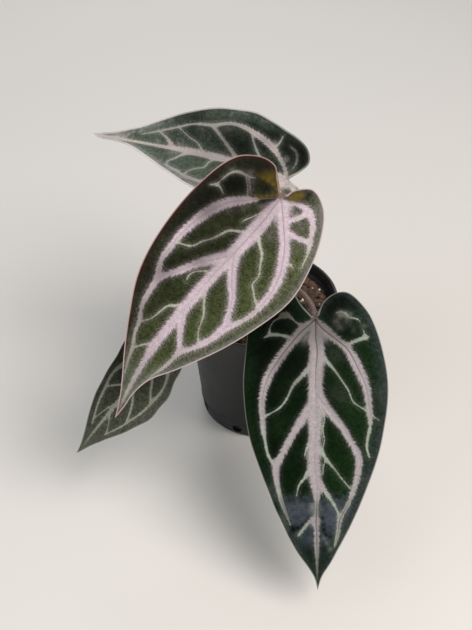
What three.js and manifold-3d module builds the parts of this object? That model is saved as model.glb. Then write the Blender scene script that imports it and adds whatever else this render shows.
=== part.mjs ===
// Potted anthurium hybrid: a young velvet-leaved aroid with four heart-shaped leaves on
// arching petioles, growing from a short stem in a plain round nursery pot.
// Millimetres, +Z up. The origin is the middle of the pot's base, and the plant leans to -Y.

import * as THREE from 'three';
import { mergeVertices } from 'three/addons/utils/BufferGeometryUtils.js';
import Module from 'manifold-3d';

const wasm = await Module();
wasm.setup();

// Clearance between two pieces that touch
const GAP = 0.35;

// Pot
const POT_HEIGHT = 92;
const POT_RIM_RADIUS = 50;
const POT_BASE_RADIUS = 38;
const POT_WALL = 1.3;
const POT_FLOOR = 2.6;
const POT_SIDES = 40;
const RIM_BAND = 8;
const RIM_STEP = 2.2;
const DRAIN_HOLES = 8;
const DRAIN_HOLE_RADIUS = 3.2;

// Potting mix: fine bark with chips and perlite on its top
const MIX_TOP = 83;
const MIX_BUMP = 1.1;
const MIX_SIDES = 30;
const BARK_CHIPS = 36;
const PERLITE_GRAINS = 16;
const BARE_RADIUS = 17;
const SEED = 20;

// Stem
const STEM_RADIUS = 6;
const STEM_BOTTOM = 62;
const STEM_TOP = 96;
const SCAR_SPACING = 6.5;
const SCAR_DEPTH = 0.5;
const STEM_SIDES = 18;

// Petioles
const PETIOLE_RADIUS = 1.9;
const SHEATH_RADIUS = 3.1;
const JOINT_RADIUS = 2.6;
const PETIOLE_STEPS = 22;
const PETIOLE_SIDES = 9;

// Blades
const BLADE = 0.8;
const BLADE_ROWS = 24;
const BLADE_COLUMNS = 5;
const MARGIN_WAVE = 1.3;
const MARGIN_WAVES = 4.5;
const QUILT = 0.6;
const QUILT_SPACING = 19;
const MIDRIB_HALF_WIDTH = 1.7;
const MIDRIB_DEPTH = 1.3;
const SIDE_RIB_DEPTH = 0.7;
const RIB_ROOT = 0.65;
const RIB_STEPS = 6;

// The leaves. junction is where the petiole meets the blade, and facing is the way the
// blade's upper side looks. In a blade's own plane x runs to its right and y from the
// junction to the tip. left and right are the margin's points, from the sinus to the tip.
// A rib is half its width and its path.
const LEAVES = [
  {
    name: 'leaf_a',
    junction: [9, -40, 192],
    tip: [-81, -118, 101],
    facing: [0.04, -0.77, 0.63],
    droop: 26,
    bow: -7,
    fold: 0.08,
    cup: -0.04,
    base: -110,
    left: [[-2, -1], [-8, -7], [-13, -12], [-22, -11], [-32, -3], [-37, 11], [-38, 30],
      [-36, 54], [-30, 79], [-20, 101], [-11, 120], [-4.5, 134], [-1.5, 144], [0, 151]],
    right: [[2, -2], [4, -8], [12, -14], [23, -8], [31, 6], [38, 25], [41, 44],
      [38, 63], [30, 86], [18, 107], [8, 121], [3.5, 132], [2, 142], [0, 151]],
    ribs: [
      [1.3, [[-2, 2], [-18, 21], [-27, 46], [-27, 63], [-23, 78], [-18, 94], [-12, 111], [-6, 126]]],
      [1.3, [[2, 2], [15, 15], [27, 33], [30, 50], [27, 73], [21, 89], [14, 103], [8, 116]]],
      [1.1, [[0, 40], [-6, 51], [-13, 62], [-18, 72], [-22, 79]]],
      [0.8, [[-1, 25], [-8, 31], [-13, 41], [-19, 51], [-26, 55]]],
      [0.8, [[0, 75], [-2, 80], [-6, 83], [-8, 91], [-14, 103]]],
      [0.8, [[1, 20], [10, 29], [16, 37], [20, 47], [29, 53]]],
      [1.1, [[0, 33], [5, 43], [13, 54], [21, 69], [25, 80]]],
      [0.8, [[1, 62], [8, 72], [11, 77], [14, 82], [20, 91]]],
      [0.8, [[0, 80], [4, 86], [7, 92], [10, 96], [14, 102]]],
      [0.7, [[3, 3], [12, -3], [20, 0], [28, 13], [33, 21]]],
      [0.7, [[-3, 1], [-10, -4], [-18, -3], [-26, 2], [-31, 10]]],
    ],
  },
  {
    name: 'leaf_b',
    junction: [16, 15, 169],
    tip: [-105, 55, 178],
    facing: [-0.02, -0.26, 0.97],
    droop: 24,
    bow: 2,
    fold: 0.24,
    cup: -0.03,
    base: 60,
    left: [[-2, -1], [-7, -5], [-15, -8], [-23, -4], [-28, 5], [-33, 20], [-36, 36],
      [-33, 54], [-26, 71], [-16, 87], [-8, 100], [-3, 112], [-1.5, 121], [0, 129]],
    right: [[2, -2], [5, -8], [13, -11], [22, -8], [29, 3], [34, 19], [36, 35],
      [33, 52], [25, 68], [15, 86], [8, 99], [4.5, 112], [2.5, 121], [0, 129]],
    ribs: [
      [1.2, [[-2, 2], [-13, 15], [-19, 24], [-25, 39], [-23, 52], [-19, 64], [-14, 76], [-6, 92]]],
      [1.2, [[2, 2], [13, 13], [21, 25], [27, 40], [27, 53], [21, 66], [15, 78], [8, 92]]],
      [1.0, [[-2, 30], [-10, 40], [-17, 50], [-22, 55]]],
      [0.8, [[-1, 15], [-11, 23], [-16, 27], [-22, 32]]],
      [0.8, [[0, 54], [-6, 57], [-9, 62], [-16, 73]]],
      [0.9, [[1, 47], [8, 48], [13, 50], [17, 54], [24, 60]]],
      [0.8, [[1, 66], [8, 68], [12, 74], [16, 77]]],
      [0.8, [[1, 22], [10, 30], [18, 34], [26, 41]]],
    ],
  },
  {
    name: 'leaf_c',
    junction: [28, -78, 138],
    tip: [29.5, -172, 21],
    facing: [-0.08, -0.74, 0.67],
    droop: 26,
    bow: 0.5,
    fold: 0.06,
    cup: -0.04,
    base: -50,
    left: [[-2, -1], [-7.5, -7], [-13, -15.5], [-20, -17], [-29, -11], [-35.5, 1], [-38.5, 20],
      [-39.5, 40], [-37.5, 60], [-31, 82], [-22, 106], [-13, 125], [-5, 137], [-1.5, 144], [0, 151]],
    right: [[1.5, -1.5], [4.5, -9], [11, -14], [18.5, -14], [26, -7], [31, 1], [36, 17],
      [38.5, 33], [37.5, 51], [33.5, 71], [26, 93], [17, 114], [8, 132], [2.5, 142], [0, 151]],
    ribs: [
      [1.3, [[-2, 2], [-8, 7], [-19, 19], [-27, 32], [-30, 46], [-29, 60], [-23, 78], [-21, 91],
        [-18, 104], [-10, 119]]],
      [1.3, [[2, 2], [11, 11], [18, 18], [25, 34], [28, 50], [27, 66], [27, 82]]],
      [0.8, [[-1, 27], [-10, 33], [-14, 39], [-20, 49], [-28, 53]]],
      [1.1, [[0, 45], [-7, 54], [-14, 64], [-22, 80]]],
      [0.8, [[0, 80], [-5, 85], [-8, 88], [-12, 96]]],
      [0.8, [[1, 16], [10, 29], [16, 37], [19, 44], [27, 50]]],
      [1.1, [[0, 40], [7, 50], [14, 60], [22, 73], [20, 87], [13, 107]]],
      [0.8, [[1, 69], [8, 79], [11, 83], [18, 92]]],
      [0.8, [[0, 91], [7, 100], [12, 107], [10, 120]]],
    ],
  },
  {
    name: 'leaf_d',
    junction: [-61, -62, 106],
    tip: [-108, -102, 56],
    facing: [0.33, -0.87, 0.38],
    droop: 24,
    bow: 0,
    fold: 0.12,
    cup: -0.02,
    base: 175,
    left: [[-1.5, -1], [-4, -6], [-10, -9], [-16, -3], [-18.5, 9], [-17.5, 25],
      [-16, 39], [-12, 52], [-7, 63], [-2.5, 73], [0, 80.5]],
    right: [[1.5, -1], [4, -6], [10, -9], [17, -4], [20.5, 7], [23, 25], [22, 37],
      [16.5, 50], [9.5, 61], [4, 70], [0, 80.5]],
    ribs: [
      [0.9, [[-1.5, 2], [-8, 11], [-12, 24], [-13, 34], [-10, 46], [-6, 58]]],
      [0.9, [[1.5, 2], [10, 8], [15, 14], [18, 26], [17, 38], [12, 50]]],
      [0.7, [[0, 30], [-4, 34], [-10, 45]]],
      [0.7, [[0, 23], [5, 34], [10, 44], [11, 52]]],
      [0.6, [[1, 12], [8, 19], [12, 25], [18, 32]]],
    ],
  },
];

// Materials
const potPlastic = new THREE.MeshStandardMaterial({ color: 0x17181a, roughness: 0.5, metalness: 0 });
const pottingBark = new THREE.MeshStandardMaterial({ color: 0x4a3324, roughness: 0.95, metalness: 0 });
const stemSkin = new THREE.MeshStandardMaterial({ color: 0x6a6b3a, roughness: 0.7, metalness: 0 });
const driedBract = new THREE.MeshStandardMaterial({ color: 0x8a5a3e, roughness: 0.8, metalness: 0 });
const newLeaf = new THREE.MeshStandardMaterial({ color: 0x8f6a52, roughness: 0.5, metalness: 0 });
const petioleSkin = new THREE.MeshStandardMaterial({ color: 0x7c8a52, roughness: 0.55, metalness: 0 });
const velvetLeaf = new THREE.MeshStandardMaterial({ color: 0x24392a, roughness: 0.6, metalness: 0 });

const plant = new THREE.Group();

function addPiece(name, geometry, material) {
  const piece = new THREE.Mesh(geometry, material);
  piece.name = name;
  plant.add(piece);
}

// A random draw that is the same each time
let drawState = SEED;
function draw(low, high) {
  drawState = (drawState * 1664525 + 1013904223) % 4294967296;
  return low + (high - low) * drawState / 4294967296;
}

function solidOf(geometry) {
  const bare = geometry.clone();
  bare.deleteAttribute('normal');
  bare.deleteAttribute('uv');
  const merged = mergeVertices(bare, 1e-4);
  const mesh = new wasm.Mesh({
    numProp: 3,
    vertProperties: new Float32Array(merged.attributes.position.array),
    triVerts: new Uint32Array(merged.index.array),
  });
  return new wasm.Manifold(mesh);
}

// Keeps the outer skin alone, so a hollow that the joining sealed is filled
function outerSkin(solid) {
  return solid.decompose().reduce((best, skin) => (skin.volume() > best.volume() ? skin : best));
}

function geometryOf(solid) {
  const mesh = outerSkin(solid).getMesh();
  const geometry = new THREE.BufferGeometry();
  geometry.setAttribute('position', new THREE.BufferAttribute(mesh.vertProperties, 3));
  geometry.setIndex(new THREE.BufferAttribute(mesh.triVerts, 1));
  geometry.computeVertexNormals();
  return geometry;
}

function meshFrom(points, triangles) {
  const geometry = new THREE.BufferGeometry();
  geometry.setFromPoints(points);
  geometry.setIndex(triangles.flat());
  geometry.computeVertexNormals();
  return geometry;
}

// A lathe turns about Y, so its shape is stood up along Z
function turned(profile, sides) {
  const points = profile.map(([radius, height]) => new THREE.Vector2(radius, height));
  return new THREE.LatheGeometry(points, sides).rotateX(Math.PI / 2);
}

function smoothPath(points) {
  const corners = points.map(([x, y]) => new THREE.Vector3(x, y, 0));
  return new THREE.CatmullRomCurve3(corners, false, 'catmullrom', 0.5);
}

// Closed tube through rings of points, each ring with as many points as the others
function skinOver(rings) {
  const sides = rings[0].length;
  const points = rings.flat();
  const last = rings.length - 1;
  const triangles = [];
  for (let i = 0; i < last; i++) {
    for (let j = 0; j < sides; j++) {
      const a = i * sides + j;
      const b = i * sides + (j + 1) % sides;
      triangles.push([a, b, b + sides], [a, b + sides, a + sides]);
    }
  }
  for (let j = 1; j < sides - 1; j++) {
    triangles.push([0, j + 1, j]);
    triangles.push([last * sides, last * sides + j, last * sides + j + 1]);
  }
  return meshFrom(points, triangles);
}

// Round tube along a curve, with its own radius at each step
function taperedTube(curve, radiusAt, steps, sides) {
  const frames = curve.computeFrenetFrames(steps, false);
  const rings = [];
  for (let i = 0; i <= steps; i++) {
    const centre = curve.getPointAt(i / steps);
    const radius = radiusAt(i / steps);
    const ring = [];
    for (let j = 0; j < sides; j++) {
      const angle = 2 * Math.PI * j / sides;
      ring.push(centre.clone()
        .addScaledVector(frames.normals[i], radius * Math.cos(angle))
        .addScaledVector(frames.binormals[i], radius * Math.sin(angle)));
    }
    rings.push(ring);
  }
  return skinOver(rings);
}

// Pot: thin moulded wall with a stepped rim band, a grooved base and drain holes round it
const WALL_TOP = POT_HEIGHT - RIM_BAND - RIM_STEP;
const WALL_TOP_RADIUS = POT_RIM_RADIUS - RIM_STEP - POT_WALL;

function innerRadiusAt(height) {
  const share = (height - POT_FLOOR) / (WALL_TOP - POT_FLOOR);
  const atFloor = POT_BASE_RADIUS - POT_WALL;
  return atFloor + (WALL_TOP_RADIUS - POT_WALL - atFloor) * share;
}

function nurseryPot() {
  const rim = POT_RIM_RADIUS;
  const wall = turned([
    [0, 0], [26, 0], [27.2, 1.1], [31.8, 1.1], [33, 0], [POT_BASE_RADIUS - 1.4, 0],
    [POT_BASE_RADIUS, 1.6], [WALL_TOP_RADIUS, WALL_TOP], [rim - 0.7, POT_HEIGHT - RIM_BAND],
    [rim, POT_HEIGHT - 1.4], [rim - 0.5, POT_HEIGHT - 0.3], [rim - 1.3, POT_HEIGHT],
    [rim - 2, POT_HEIGHT - 0.5], [rim - 2 - 0.4, POT_HEIGHT - RIM_BAND + 0.6],
    [innerRadiusAt(WALL_TOP), WALL_TOP], [innerRadiusAt(POT_FLOOR), POT_FLOOR], [0, POT_FLOOR],
  ], POT_SIDES);
  let pot = solidOf(wall);
  for (let i = 0; i < DRAIN_HOLES; i++) {
    const angle = 2 * Math.PI * (i + 0.5) / DRAIN_HOLES;
    const hole = new THREE.CylinderGeometry(DRAIN_HOLE_RADIUS, DRAIN_HOLE_RADIUS, 12, 12);
    hole.rotateZ(Math.PI / 2).translate(POT_BASE_RADIUS, 0, POT_FLOOR + DRAIN_HOLE_RADIUS);
    hole.rotateZ(angle);
    pot = pot.subtract(solidOf(hole));
  }
  return geometryOf(pot);
}

// Potting mix: fills the pot to below its rim, uneven on top
function mixHeight(x, y) {
  const swell = Math.sin(0.21 * x + 1.3) * Math.cos(0.17 * y - 0.6);
  return MIX_TOP + MIX_BUMP * (0.7 * swell + 0.3 * Math.sin(0.53 * x - 0.47 * y));
}

function pottingMix() {
  const bottom = POT_FLOOR + GAP;
  const edge = innerRadiusAt(WALL_TOP - 2) - GAP;
  const top = [edge, 39, 32, 25, 18, 11, 5, 0].map((radius) => [radius, MIX_TOP]);
  const bulk = turned([[0, bottom], [innerRadiusAt(bottom) - GAP, bottom],
    [innerRadiusAt(WALL_TOP - 4) - GAP, WALL_TOP - 4], ...top], MIX_SIDES);
  const spots = bulk.attributes.position;
  for (let i = 0; i < spots.count; i++) {
    const x = spots.getX(i);
    const y = spots.getY(i);
    if (spots.getZ(i) > MIX_TOP - 0.01 && Math.hypot(x, y) < edge - 1) {
      spots.setZ(i, mixHeight(x, y));
    }
  }
  let mix = solidOf(bulk);
  for (let i = 0; i < BARK_CHIPS + PERLITE_GRAINS; i++) {
    const isBark = i < BARK_CHIPS;
    const angle = draw(0, 2 * Math.PI);
    const radius = Math.sqrt(draw(BARE_RADIUS ** 2, 38 ** 2));
    const x = radius * Math.cos(angle);
    const y = radius * Math.sin(angle);
    const piece = isBark
      ? new THREE.BoxGeometry(draw(6, 12), draw(4, 7), draw(2.6, 4))
      : new THREE.IcosahedronGeometry(draw(1.6, 2.6), 0);
    piece.rotateX(draw(-0.35, 0.35)).rotateY(draw(-0.35, 0.35)).rotateZ(draw(0, Math.PI));
    piece.translate(x, y, mixHeight(x, y) + draw(0.2, 0.7));
    mix = mix.add(solidOf(piece));
  }
  const hole = new THREE.CylinderGeometry(STEM_RADIUS + GAP, STEM_RADIUS + GAP, 60, 24);
  hole.rotateX(Math.PI / 2).translate(0, 0, STEM_BOTTOM - GAP + 30);
  return geometryOf(mix.subtract(solidOf(hole)));
}

// Stem: short and upright, ringed by the scars of old leaves
function stem() {
  const profile = [[0, STEM_BOTTOM]];
  const rings = Math.round((STEM_TOP - STEM_BOTTOM) / SCAR_SPACING) * 2;
  for (let i = 0; i <= rings; i++) {
    const height = STEM_BOTTOM + (STEM_TOP - 3 - STEM_BOTTOM) * i / rings;
    const scar = i % 2 === 0 ? SCAR_DEPTH : 0;
    profile.push([STEM_RADIUS - SCAR_DEPTH + scar, height]);
  }
  profile.push([STEM_RADIUS * 0.6, STEM_TOP - 0.8], [0, STEM_TOP]);
  return turned(profile, STEM_SIDES);
}

// Growing tip: the next leaf, still rolled in its bract
function growingTip() {
  const foot = STEM_TOP + GAP;
  const rise = new THREE.CatmullRomCurve3([
    new THREE.Vector3(0, 0, foot), new THREE.Vector3(0.6, 0.4, foot + 14),
    new THREE.Vector3(2.2, 1.6, foot + 30), new THREE.Vector3(5, 3.4, foot + 44),
  ]);
  const radiusAt = (share) => 0.45 + 2.1 * Math.cos(share * Math.PI / 2) ** 0.8;
  return taperedTube(rise, radiusAt, 12, 10);
}

// Bract: a dried cataphyll, a thin curved scale that stands against the stem
function bract(angle, height, halfTurn) {
  const rows = 7;
  const columns = 6;
  const foot = MIX_TOP + MIX_BUMP + 0.8;
  const spot = (i, j, depth) => {
    const rise = i / rows;
    const width = halfTurn * (1 - 0.85 * rise ** 2);
    const turn = angle + width * (2 * j / columns - 1);
    const radius = STEM_RADIUS + GAP + depth + 5 * rise ** 2;
    return new THREE.Vector3(radius * Math.cos(turn), radius * Math.sin(turn), foot + height * rise);
  };
  const rings = [];
  for (let i = 0; i <= rows; i++) {
    const inner = [];
    const outer = [];
    for (let j = 0; j <= columns; j++) {
      inner.push(spot(i, j, 0));
      outer.unshift(spot(i, j, 0.8));
    }
    rings.push([...inner, ...outer]);
  }
  return flipped(skinWithFlatEnds(rings, columns));
}

// Closes a band of two facing rows with straight strips, so that a curved end has no
// crossing triangles
function skinWithFlatEnds(rings, columns) {
  const sides = rings[0].length;
  const last = (rings.length - 1) * sides;
  const triangles = [];
  for (let i = 0; i < rings.length - 1; i++) {
    for (let j = 0; j < sides; j++) {
      const a = i * sides + j;
      const b = i * sides + (j + 1) % sides;
      triangles.push([a, b, b + sides], [a, b + sides, a + sides]);
    }
  }
  for (let j = 0; j < columns; j++) {
    const far = sides - 1 - j;
    triangles.push([j, far, far - 1], [j, far - 1, j + 1]);
    triangles.push([last + j, last + far - 1, last + far], [last + j, last + j + 1, last + far - 1]);
  }
  return meshFrom(rings.flat(), triangles);
}

function flipped(geometry) {
  const order = Array.from(geometry.index.array);
  for (let i = 0; i < order.length; i += 3) {
    [order[i + 1], order[i + 2]] = [order[i + 2], order[i + 1]];
  }
  geometry.setIndex(order);
  geometry.computeVertexNormals();
  return geometry;
}

// The curved surface of a blade: it leaves the junction along "heading" and bends down
// evenly over its length
function setOut(leaf) {
  const junction = new THREE.Vector3(...leaf.junction);
  const chord = new THREE.Vector3(...leaf.tip).sub(junction);
  const along = chord.clone().normalize();
  const facing = new THREE.Vector3(...leaf.facing);
  const normal = facing.addScaledVector(along, -facing.dot(along)).normalize();
  const bend = THREE.MathUtils.degToRad(leaf.droop);
  const heading = along.clone().multiplyScalar(Math.cos(bend / 2))
    .addScaledVector(normal, Math.sin(bend / 2));
  const up = normal.clone().multiplyScalar(Math.cos(bend / 2))
    .addScaledVector(along, -Math.sin(bend / 2));
  const side = new THREE.Vector3().crossVectors(up, heading);
  const bendRadius = chord.length() / (2 * Math.sin(bend / 2));
  const length = bendRadius * bend;
  const halfWidth = Math.max(...leaf.right.map(([x]) => x));
  return { ...leaf, junction, heading, up, side, bendRadius, length, halfWidth };
}

// A point of the blade, "depth" below its upper face
function bladePoint(leaf, x, y, depth = 0) {
  const turn = y / leaf.bendRadius;
  const share = THREE.MathUtils.clamp(y / leaf.length, 0, 1);
  const across = x + leaf.bow * Math.sin(Math.PI * share ** 1.35);
  const spread = Math.abs(x) / leaf.halfWidth;
  const waveStart = x < 0 ? 1.3 : 0;
  const wave = Math.sin(2 * Math.PI * MARGIN_WAVES * y / leaf.length + waveStart);
  const quilt = Math.sin(Math.PI * (y - 0.9 * Math.abs(x)) / QUILT_SPACING) ** 2;
  const lift = leaf.fold * Math.abs(x) + leaf.cup * Math.abs(x) * spread
    + MARGIN_WAVE * spread ** 3 * wave + QUILT * quilt * Math.min(1, 3 * spread);
  const normal = leaf.up.clone().multiplyScalar(Math.cos(turn))
    .addScaledVector(leaf.heading, Math.sin(turn));
  return leaf.junction.clone()
    .addScaledVector(leaf.heading, leaf.bendRadius * Math.sin(turn))
    .addScaledVector(leaf.up, -leaf.bendRadius * (1 - Math.cos(turn)))
    .addScaledVector(leaf.side, across)
    .addScaledVector(normal, lift - depth);
}

// The blade is ruled by lines from the midrib out to the margin. Past FAN_START of the
// margin, counted from the tip, the lines fan round the junction and fill the basal lobe.
const FAN_START = 0.66;

function ruledBlade(leaf) {
  const margins = [leaf.left, leaf.right].map(
    (points) => smoothPath([...points].reverse()).getSpacedPoints(BLADE_ROWS));
  const spots = [];
  const numbers = new Map();
  const numberOf = (row, column) => {
    const isTip = row === 0;
    const fanned = row / BLADE_ROWS >= FAN_START;
    const key = isTip ? 'tip' : (column === 0 && fanned ? 'junction' : `${row},${column}`);
    if (!numbers.has(key)) {
      const inner = fanned ? 0 : leaf.length * (1 - row / BLADE_ROWS / FAN_START);
      const margin = margins[column < 0 ? 0 : 1][row];
      const out = Math.abs(column) / BLADE_COLUMNS;
      numbers.set(key, spots.length);
      spots.push(isTip ? [0, leaf.length] : [margin.x * out, inner + (margin.y - inner) * out]);
    }
    return numbers.get(key);
  };
  const upper = [];
  const addCorner = (a, b, c) => {
    if (a !== b && b !== c && a !== c) upper.push([a, b, c]);
  };
  for (let row = 0; row < BLADE_ROWS; row++) {
    for (let column = -BLADE_COLUMNS; column < BLADE_COLUMNS; column++) {
      const a = numberOf(row, column);
      const b = numberOf(row, column + 1);
      const c = numberOf(row + 1, column + 1);
      const d = numberOf(row + 1, column);
      if (column < 0) {
        addCorner(a, c, d);
        addCorner(a, b, c);
      } else {
        addCorner(a, b, d);
        addCorner(b, c, d);
      }
    }
  }
  return { spots, upper };
}

function bladeSolid(leaf) {
  const { spots, upper } = ruledBlade(leaf);
  const count = spots.length;
  const points = [
    ...spots.map(([x, y]) => bladePoint(leaf, x, y)),
    ...spots.map(([x, y]) => bladePoint(leaf, x, y, BLADE)),
  ];
  const triangles = [];
  const edges = new Set(upper.flatMap(([a, b, c]) => [`${a},${b}`, `${b},${c}`, `${c},${a}`]));
  for (const [a, b, c] of upper) {
    triangles.push([a, b, c], [a + count, c + count, b + count]);
    for (const [from, to] of [[a, b], [b, c], [c, a]]) {
      if (!edges.has(`${to},${from}`)) {
        triangles.push([to, from, from + count], [to, from + count, to + count]);
      }
    }
  }
  return solidOf(meshFrom(points, triangles));
}

// A rib stands out below the blade, wide at its root and thin at its end
function rib(leaf, path, halfWidth, depth, steps) {
  const line = smoothPath(path);
  const rings = [];
  for (let i = 0; i <= steps; i++) {
    const share = i / steps;
    const spot = line.getPointAt(share);
    const ahead = line.getTangentAt(share);
    const thin = 1 - 0.6 * share;
    const corner = (offset, below) => bladePoint(
      leaf, spot.x - ahead.y * offset * thin, spot.y + ahead.x * offset * thin, below);
    rings.push([
      corner(-halfWidth, BLADE * RIB_ROOT),
      corner(-halfWidth * 0.45, BLADE + depth * thin),
      corner(halfWidth * 0.45, BLADE + depth * thin),
      corner(halfWidth, BLADE * RIB_ROOT),
    ]);
  }
  const solid = solidOf(skinOver(rings));
  return solid.volume() > 0 ? solid : solidOf(flipped(skinOver(rings)));
}

function leafBlade(leaf) {
  let blade = bladeSolid(leaf);
  const midrib = [[0, 4], [0, leaf.length * 0.35], [0, leaf.length * 0.7], [0, leaf.length * 0.93]];
  blade = blade.add(rib(leaf, midrib, MIDRIB_HALF_WIDTH, MIDRIB_DEPTH, 2 * RIB_STEPS));
  for (const [halfWidth, path] of leaf.ribs) {
    blade = blade.add(rib(leaf, path, halfWidth, SIDE_RIB_DEPTH, RIB_STEPS));
  }
  return geometryOf(blade);
}

// Petiole: sheathed at its foot beside the stem, and swollen into a joint below the blade
function petiole(leaf) {
  const angle = THREE.MathUtils.degToRad(leaf.base);
  const outward = new THREE.Vector3(Math.cos(angle), Math.sin(angle), 0);
  const foot = outward.clone().multiplyScalar(STEM_RADIUS + GAP + SHEATH_RADIUS);
  foot.z = MIX_TOP + MIX_BUMP + GAP;
  const arrival = leaf.up.clone().add(leaf.heading).normalize();
  const end = leaf.junction.clone()
    .addScaledVector(leaf.up, -(BLADE + GAP + JOINT_RADIUS * Math.SQRT1_2));
  const reach = foot.distanceTo(end);
  const rise = foot.clone().add(new THREE.Vector3(0, 0, 0.45 * reach)).addScaledVector(outward, 4);
  const approach = end.clone().addScaledVector(arrival, -0.3 * reach);
  const curve = new THREE.CubicBezierCurve3(foot, rise, approach, end);
  const radiusAt = (share) => {
    const sheath = (SHEATH_RADIUS - PETIOLE_RADIUS) * Math.max(0, 1 - share / 0.28);
    const joint = (JOINT_RADIUS - PETIOLE_RADIUS) * Math.max(0, 1 - (1 - share) / 0.09) ** 0.5;
    return PETIOLE_RADIUS * (1 - 0.15 * share) + sheath + joint;
  };
  return taperedTube(curve, radiusAt, PETIOLE_STEPS, PETIOLE_SIDES);
}

addPiece('nursery_pot', nurseryPot(), potPlastic);
addPiece('potting_mix', pottingMix(), pottingBark);
addPiece('stem', stem(), stemSkin);
addPiece('growing_tip', growingTip(), newLeaf);
addPiece('bract_front', bract(THREE.MathUtils.degToRad(-147), 18, 0.2), driedBract);
addPiece('bract_back', bract(THREE.MathUtils.degToRad(115), 26, 0.4), driedBract);
for (const leaf of LEAVES.map(setOut)) {
  addPiece(`${leaf.name}_petiole`, petiole(leaf), petioleSkin);
  addPiece(`${leaf.name}_blade`, leafBlade(leaf), velvetLeaf);
}

export default plant;
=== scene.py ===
# Looks of the potted anthurium hybrid: a young velvet-leaved aroid in a nursery pot.
# Metres, +Z up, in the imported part's own frame. The plant leans towards -Y.

import math
import random
from functools import partial

import bmesh
import bpy
import numpy as np
from mathutils import Matrix, Vector, noise


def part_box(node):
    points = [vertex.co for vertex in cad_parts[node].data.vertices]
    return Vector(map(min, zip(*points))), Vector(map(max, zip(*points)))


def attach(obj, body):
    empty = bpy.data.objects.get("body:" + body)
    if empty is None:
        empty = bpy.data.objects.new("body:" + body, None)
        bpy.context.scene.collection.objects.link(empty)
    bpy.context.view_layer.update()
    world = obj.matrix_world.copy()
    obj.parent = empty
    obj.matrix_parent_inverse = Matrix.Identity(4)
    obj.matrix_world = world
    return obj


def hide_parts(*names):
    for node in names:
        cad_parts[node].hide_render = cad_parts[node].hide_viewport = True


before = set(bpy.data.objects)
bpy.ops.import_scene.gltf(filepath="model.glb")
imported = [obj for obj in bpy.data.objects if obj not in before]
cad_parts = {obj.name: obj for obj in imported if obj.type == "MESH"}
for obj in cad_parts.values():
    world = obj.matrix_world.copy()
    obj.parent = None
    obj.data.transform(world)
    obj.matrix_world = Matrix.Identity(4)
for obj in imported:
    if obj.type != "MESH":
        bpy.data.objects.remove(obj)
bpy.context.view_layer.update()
MM = 0.001


# Camera. It looks down on the plant from the front at 40 degrees, from an arm's length.
# The pot's rim lies a little right of the middle of the picture and just above it.
LOOK_DOWN = math.radians(40)
VIEW_DISTANCE = 620 * MM
RIM_TO_RIGHT = 15.4 * MM
RIM_ABOVE_MIDDLE = 12.8 * MM
LENS = 55.4


def add_object(name, data):
    """A new object in the scene, at the origin."""
    made = bpy.data.objects.new(name, data)
    bpy.context.collection.objects.link(made)
    return made


rim_middle = Vector((0, 0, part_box("nursery_pot")[1][2]))
ahead = Vector((0, math.cos(LOOK_DOWN), -math.sin(LOOK_DOWN)))
picture_up = Vector((0, math.sin(LOOK_DOWN), math.cos(LOOK_DOWN)))
camera = add_object("camera", bpy.data.cameras.new("camera"))
camera.data.lens = LENS
camera.data.clip_start = 10 * MM
camera.location = rim_middle - VIEW_DISTANCE * ahead - RIM_ABOVE_MIDDLE * picture_up
camera.location.x -= RIM_TO_RIGHT
camera.rotation_euler = (math.pi / 2 - LOOK_DOWN, 0, 0)
bpy.context.scene.camera = camera


# Studio. Matt off-white board under the plant, one large soft light high on the right,
# a weaker one on the left, and pale light all round.
FLOOR_SIDE = 6.0
FLOOR_COLOUR = "#d2cfca"
PLANT_MIDDLE = Vector((-0.01, -0.06, 0.12))


def linear(hex_colour):
    """The linear colour, with alpha, of an sRGB hex value."""
    shares = [int(hex_colour[i:i + 2], 16) / 255 for i in (1, 3, 5)]
    return [s / 12.92 if s <= 0.04045 else ((s + 0.055) / 1.055) ** 2.4 for s in shares] + [1.0]


def feed(node, sources):
    """Fills a node's inputs. Each source is a number, a row of numbers, a hex colour or the
    output of another node."""
    for socket, source in sources.items():
        if isinstance(source, bpy.types.NodeSocket):
            node.id_data.links.new(source, node.inputs[socket])
        elif isinstance(source, str):
            node.inputs[socket].default_value = linear(source)
        else:
            node.inputs[socket].default_value = source


def add_node(tree, kind, *sources, output=None, **options):
    """Adds a shader node, and returns its first output or the one that is named. The sources
    fill the inputs in use, in their order. An option is an input by its name, or a setting.
    What a Mix node mixes is always two colours."""
    node = tree.nodes.new("ShaderNode" + kind)
    if kind == "Mix":
        node.data_type = "RGBA"
    for name, option in options.items():
        if name in node.inputs:
            feed(node, {name: option})
        else:
            setattr(node, name, option)
    in_use = [number for number, socket in enumerate(node.inputs) if socket.enabled]
    feed(node, dict(zip(in_use, sources)))
    return next(socket for socket in node.outputs
                if socket.enabled and output in (None, socket.name))


def new_material(name, inputs):
    """A material with one shader, whose constant values are set on the shader itself, and the
    function that adds nodes to it."""
    material = bpy.data.materials.new(name)
    material.use_nodes = True
    shader = material.node_tree.nodes["Principled BSDF"]
    feed(shader, inputs)
    return material, partial(add_node, material.node_tree), shader


def mesh_from(bm, name):
    """The mesh that a BMesh has built."""
    data = bpy.data.meshes.new(name)
    bm.to_mesh(data)
    bm.free()
    return data


def soft_light(name, place, width, watts, colour):
    """A round softbox that faces the plant."""
    lamp = bpy.data.lights.new(name, "AREA")
    lamp.shape = "DISK"
    lamp.size = width
    lamp.energy = watts
    lamp.color = linear(colour)[:3]
    holder = add_object(name, lamp)
    holder.location = place
    holder.rotation_mode = "QUATERNION"
    holder.rotation_quaternion = (PLANT_MIDDLE - Vector(place)).to_track_quat("-Z", "Y")


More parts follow.
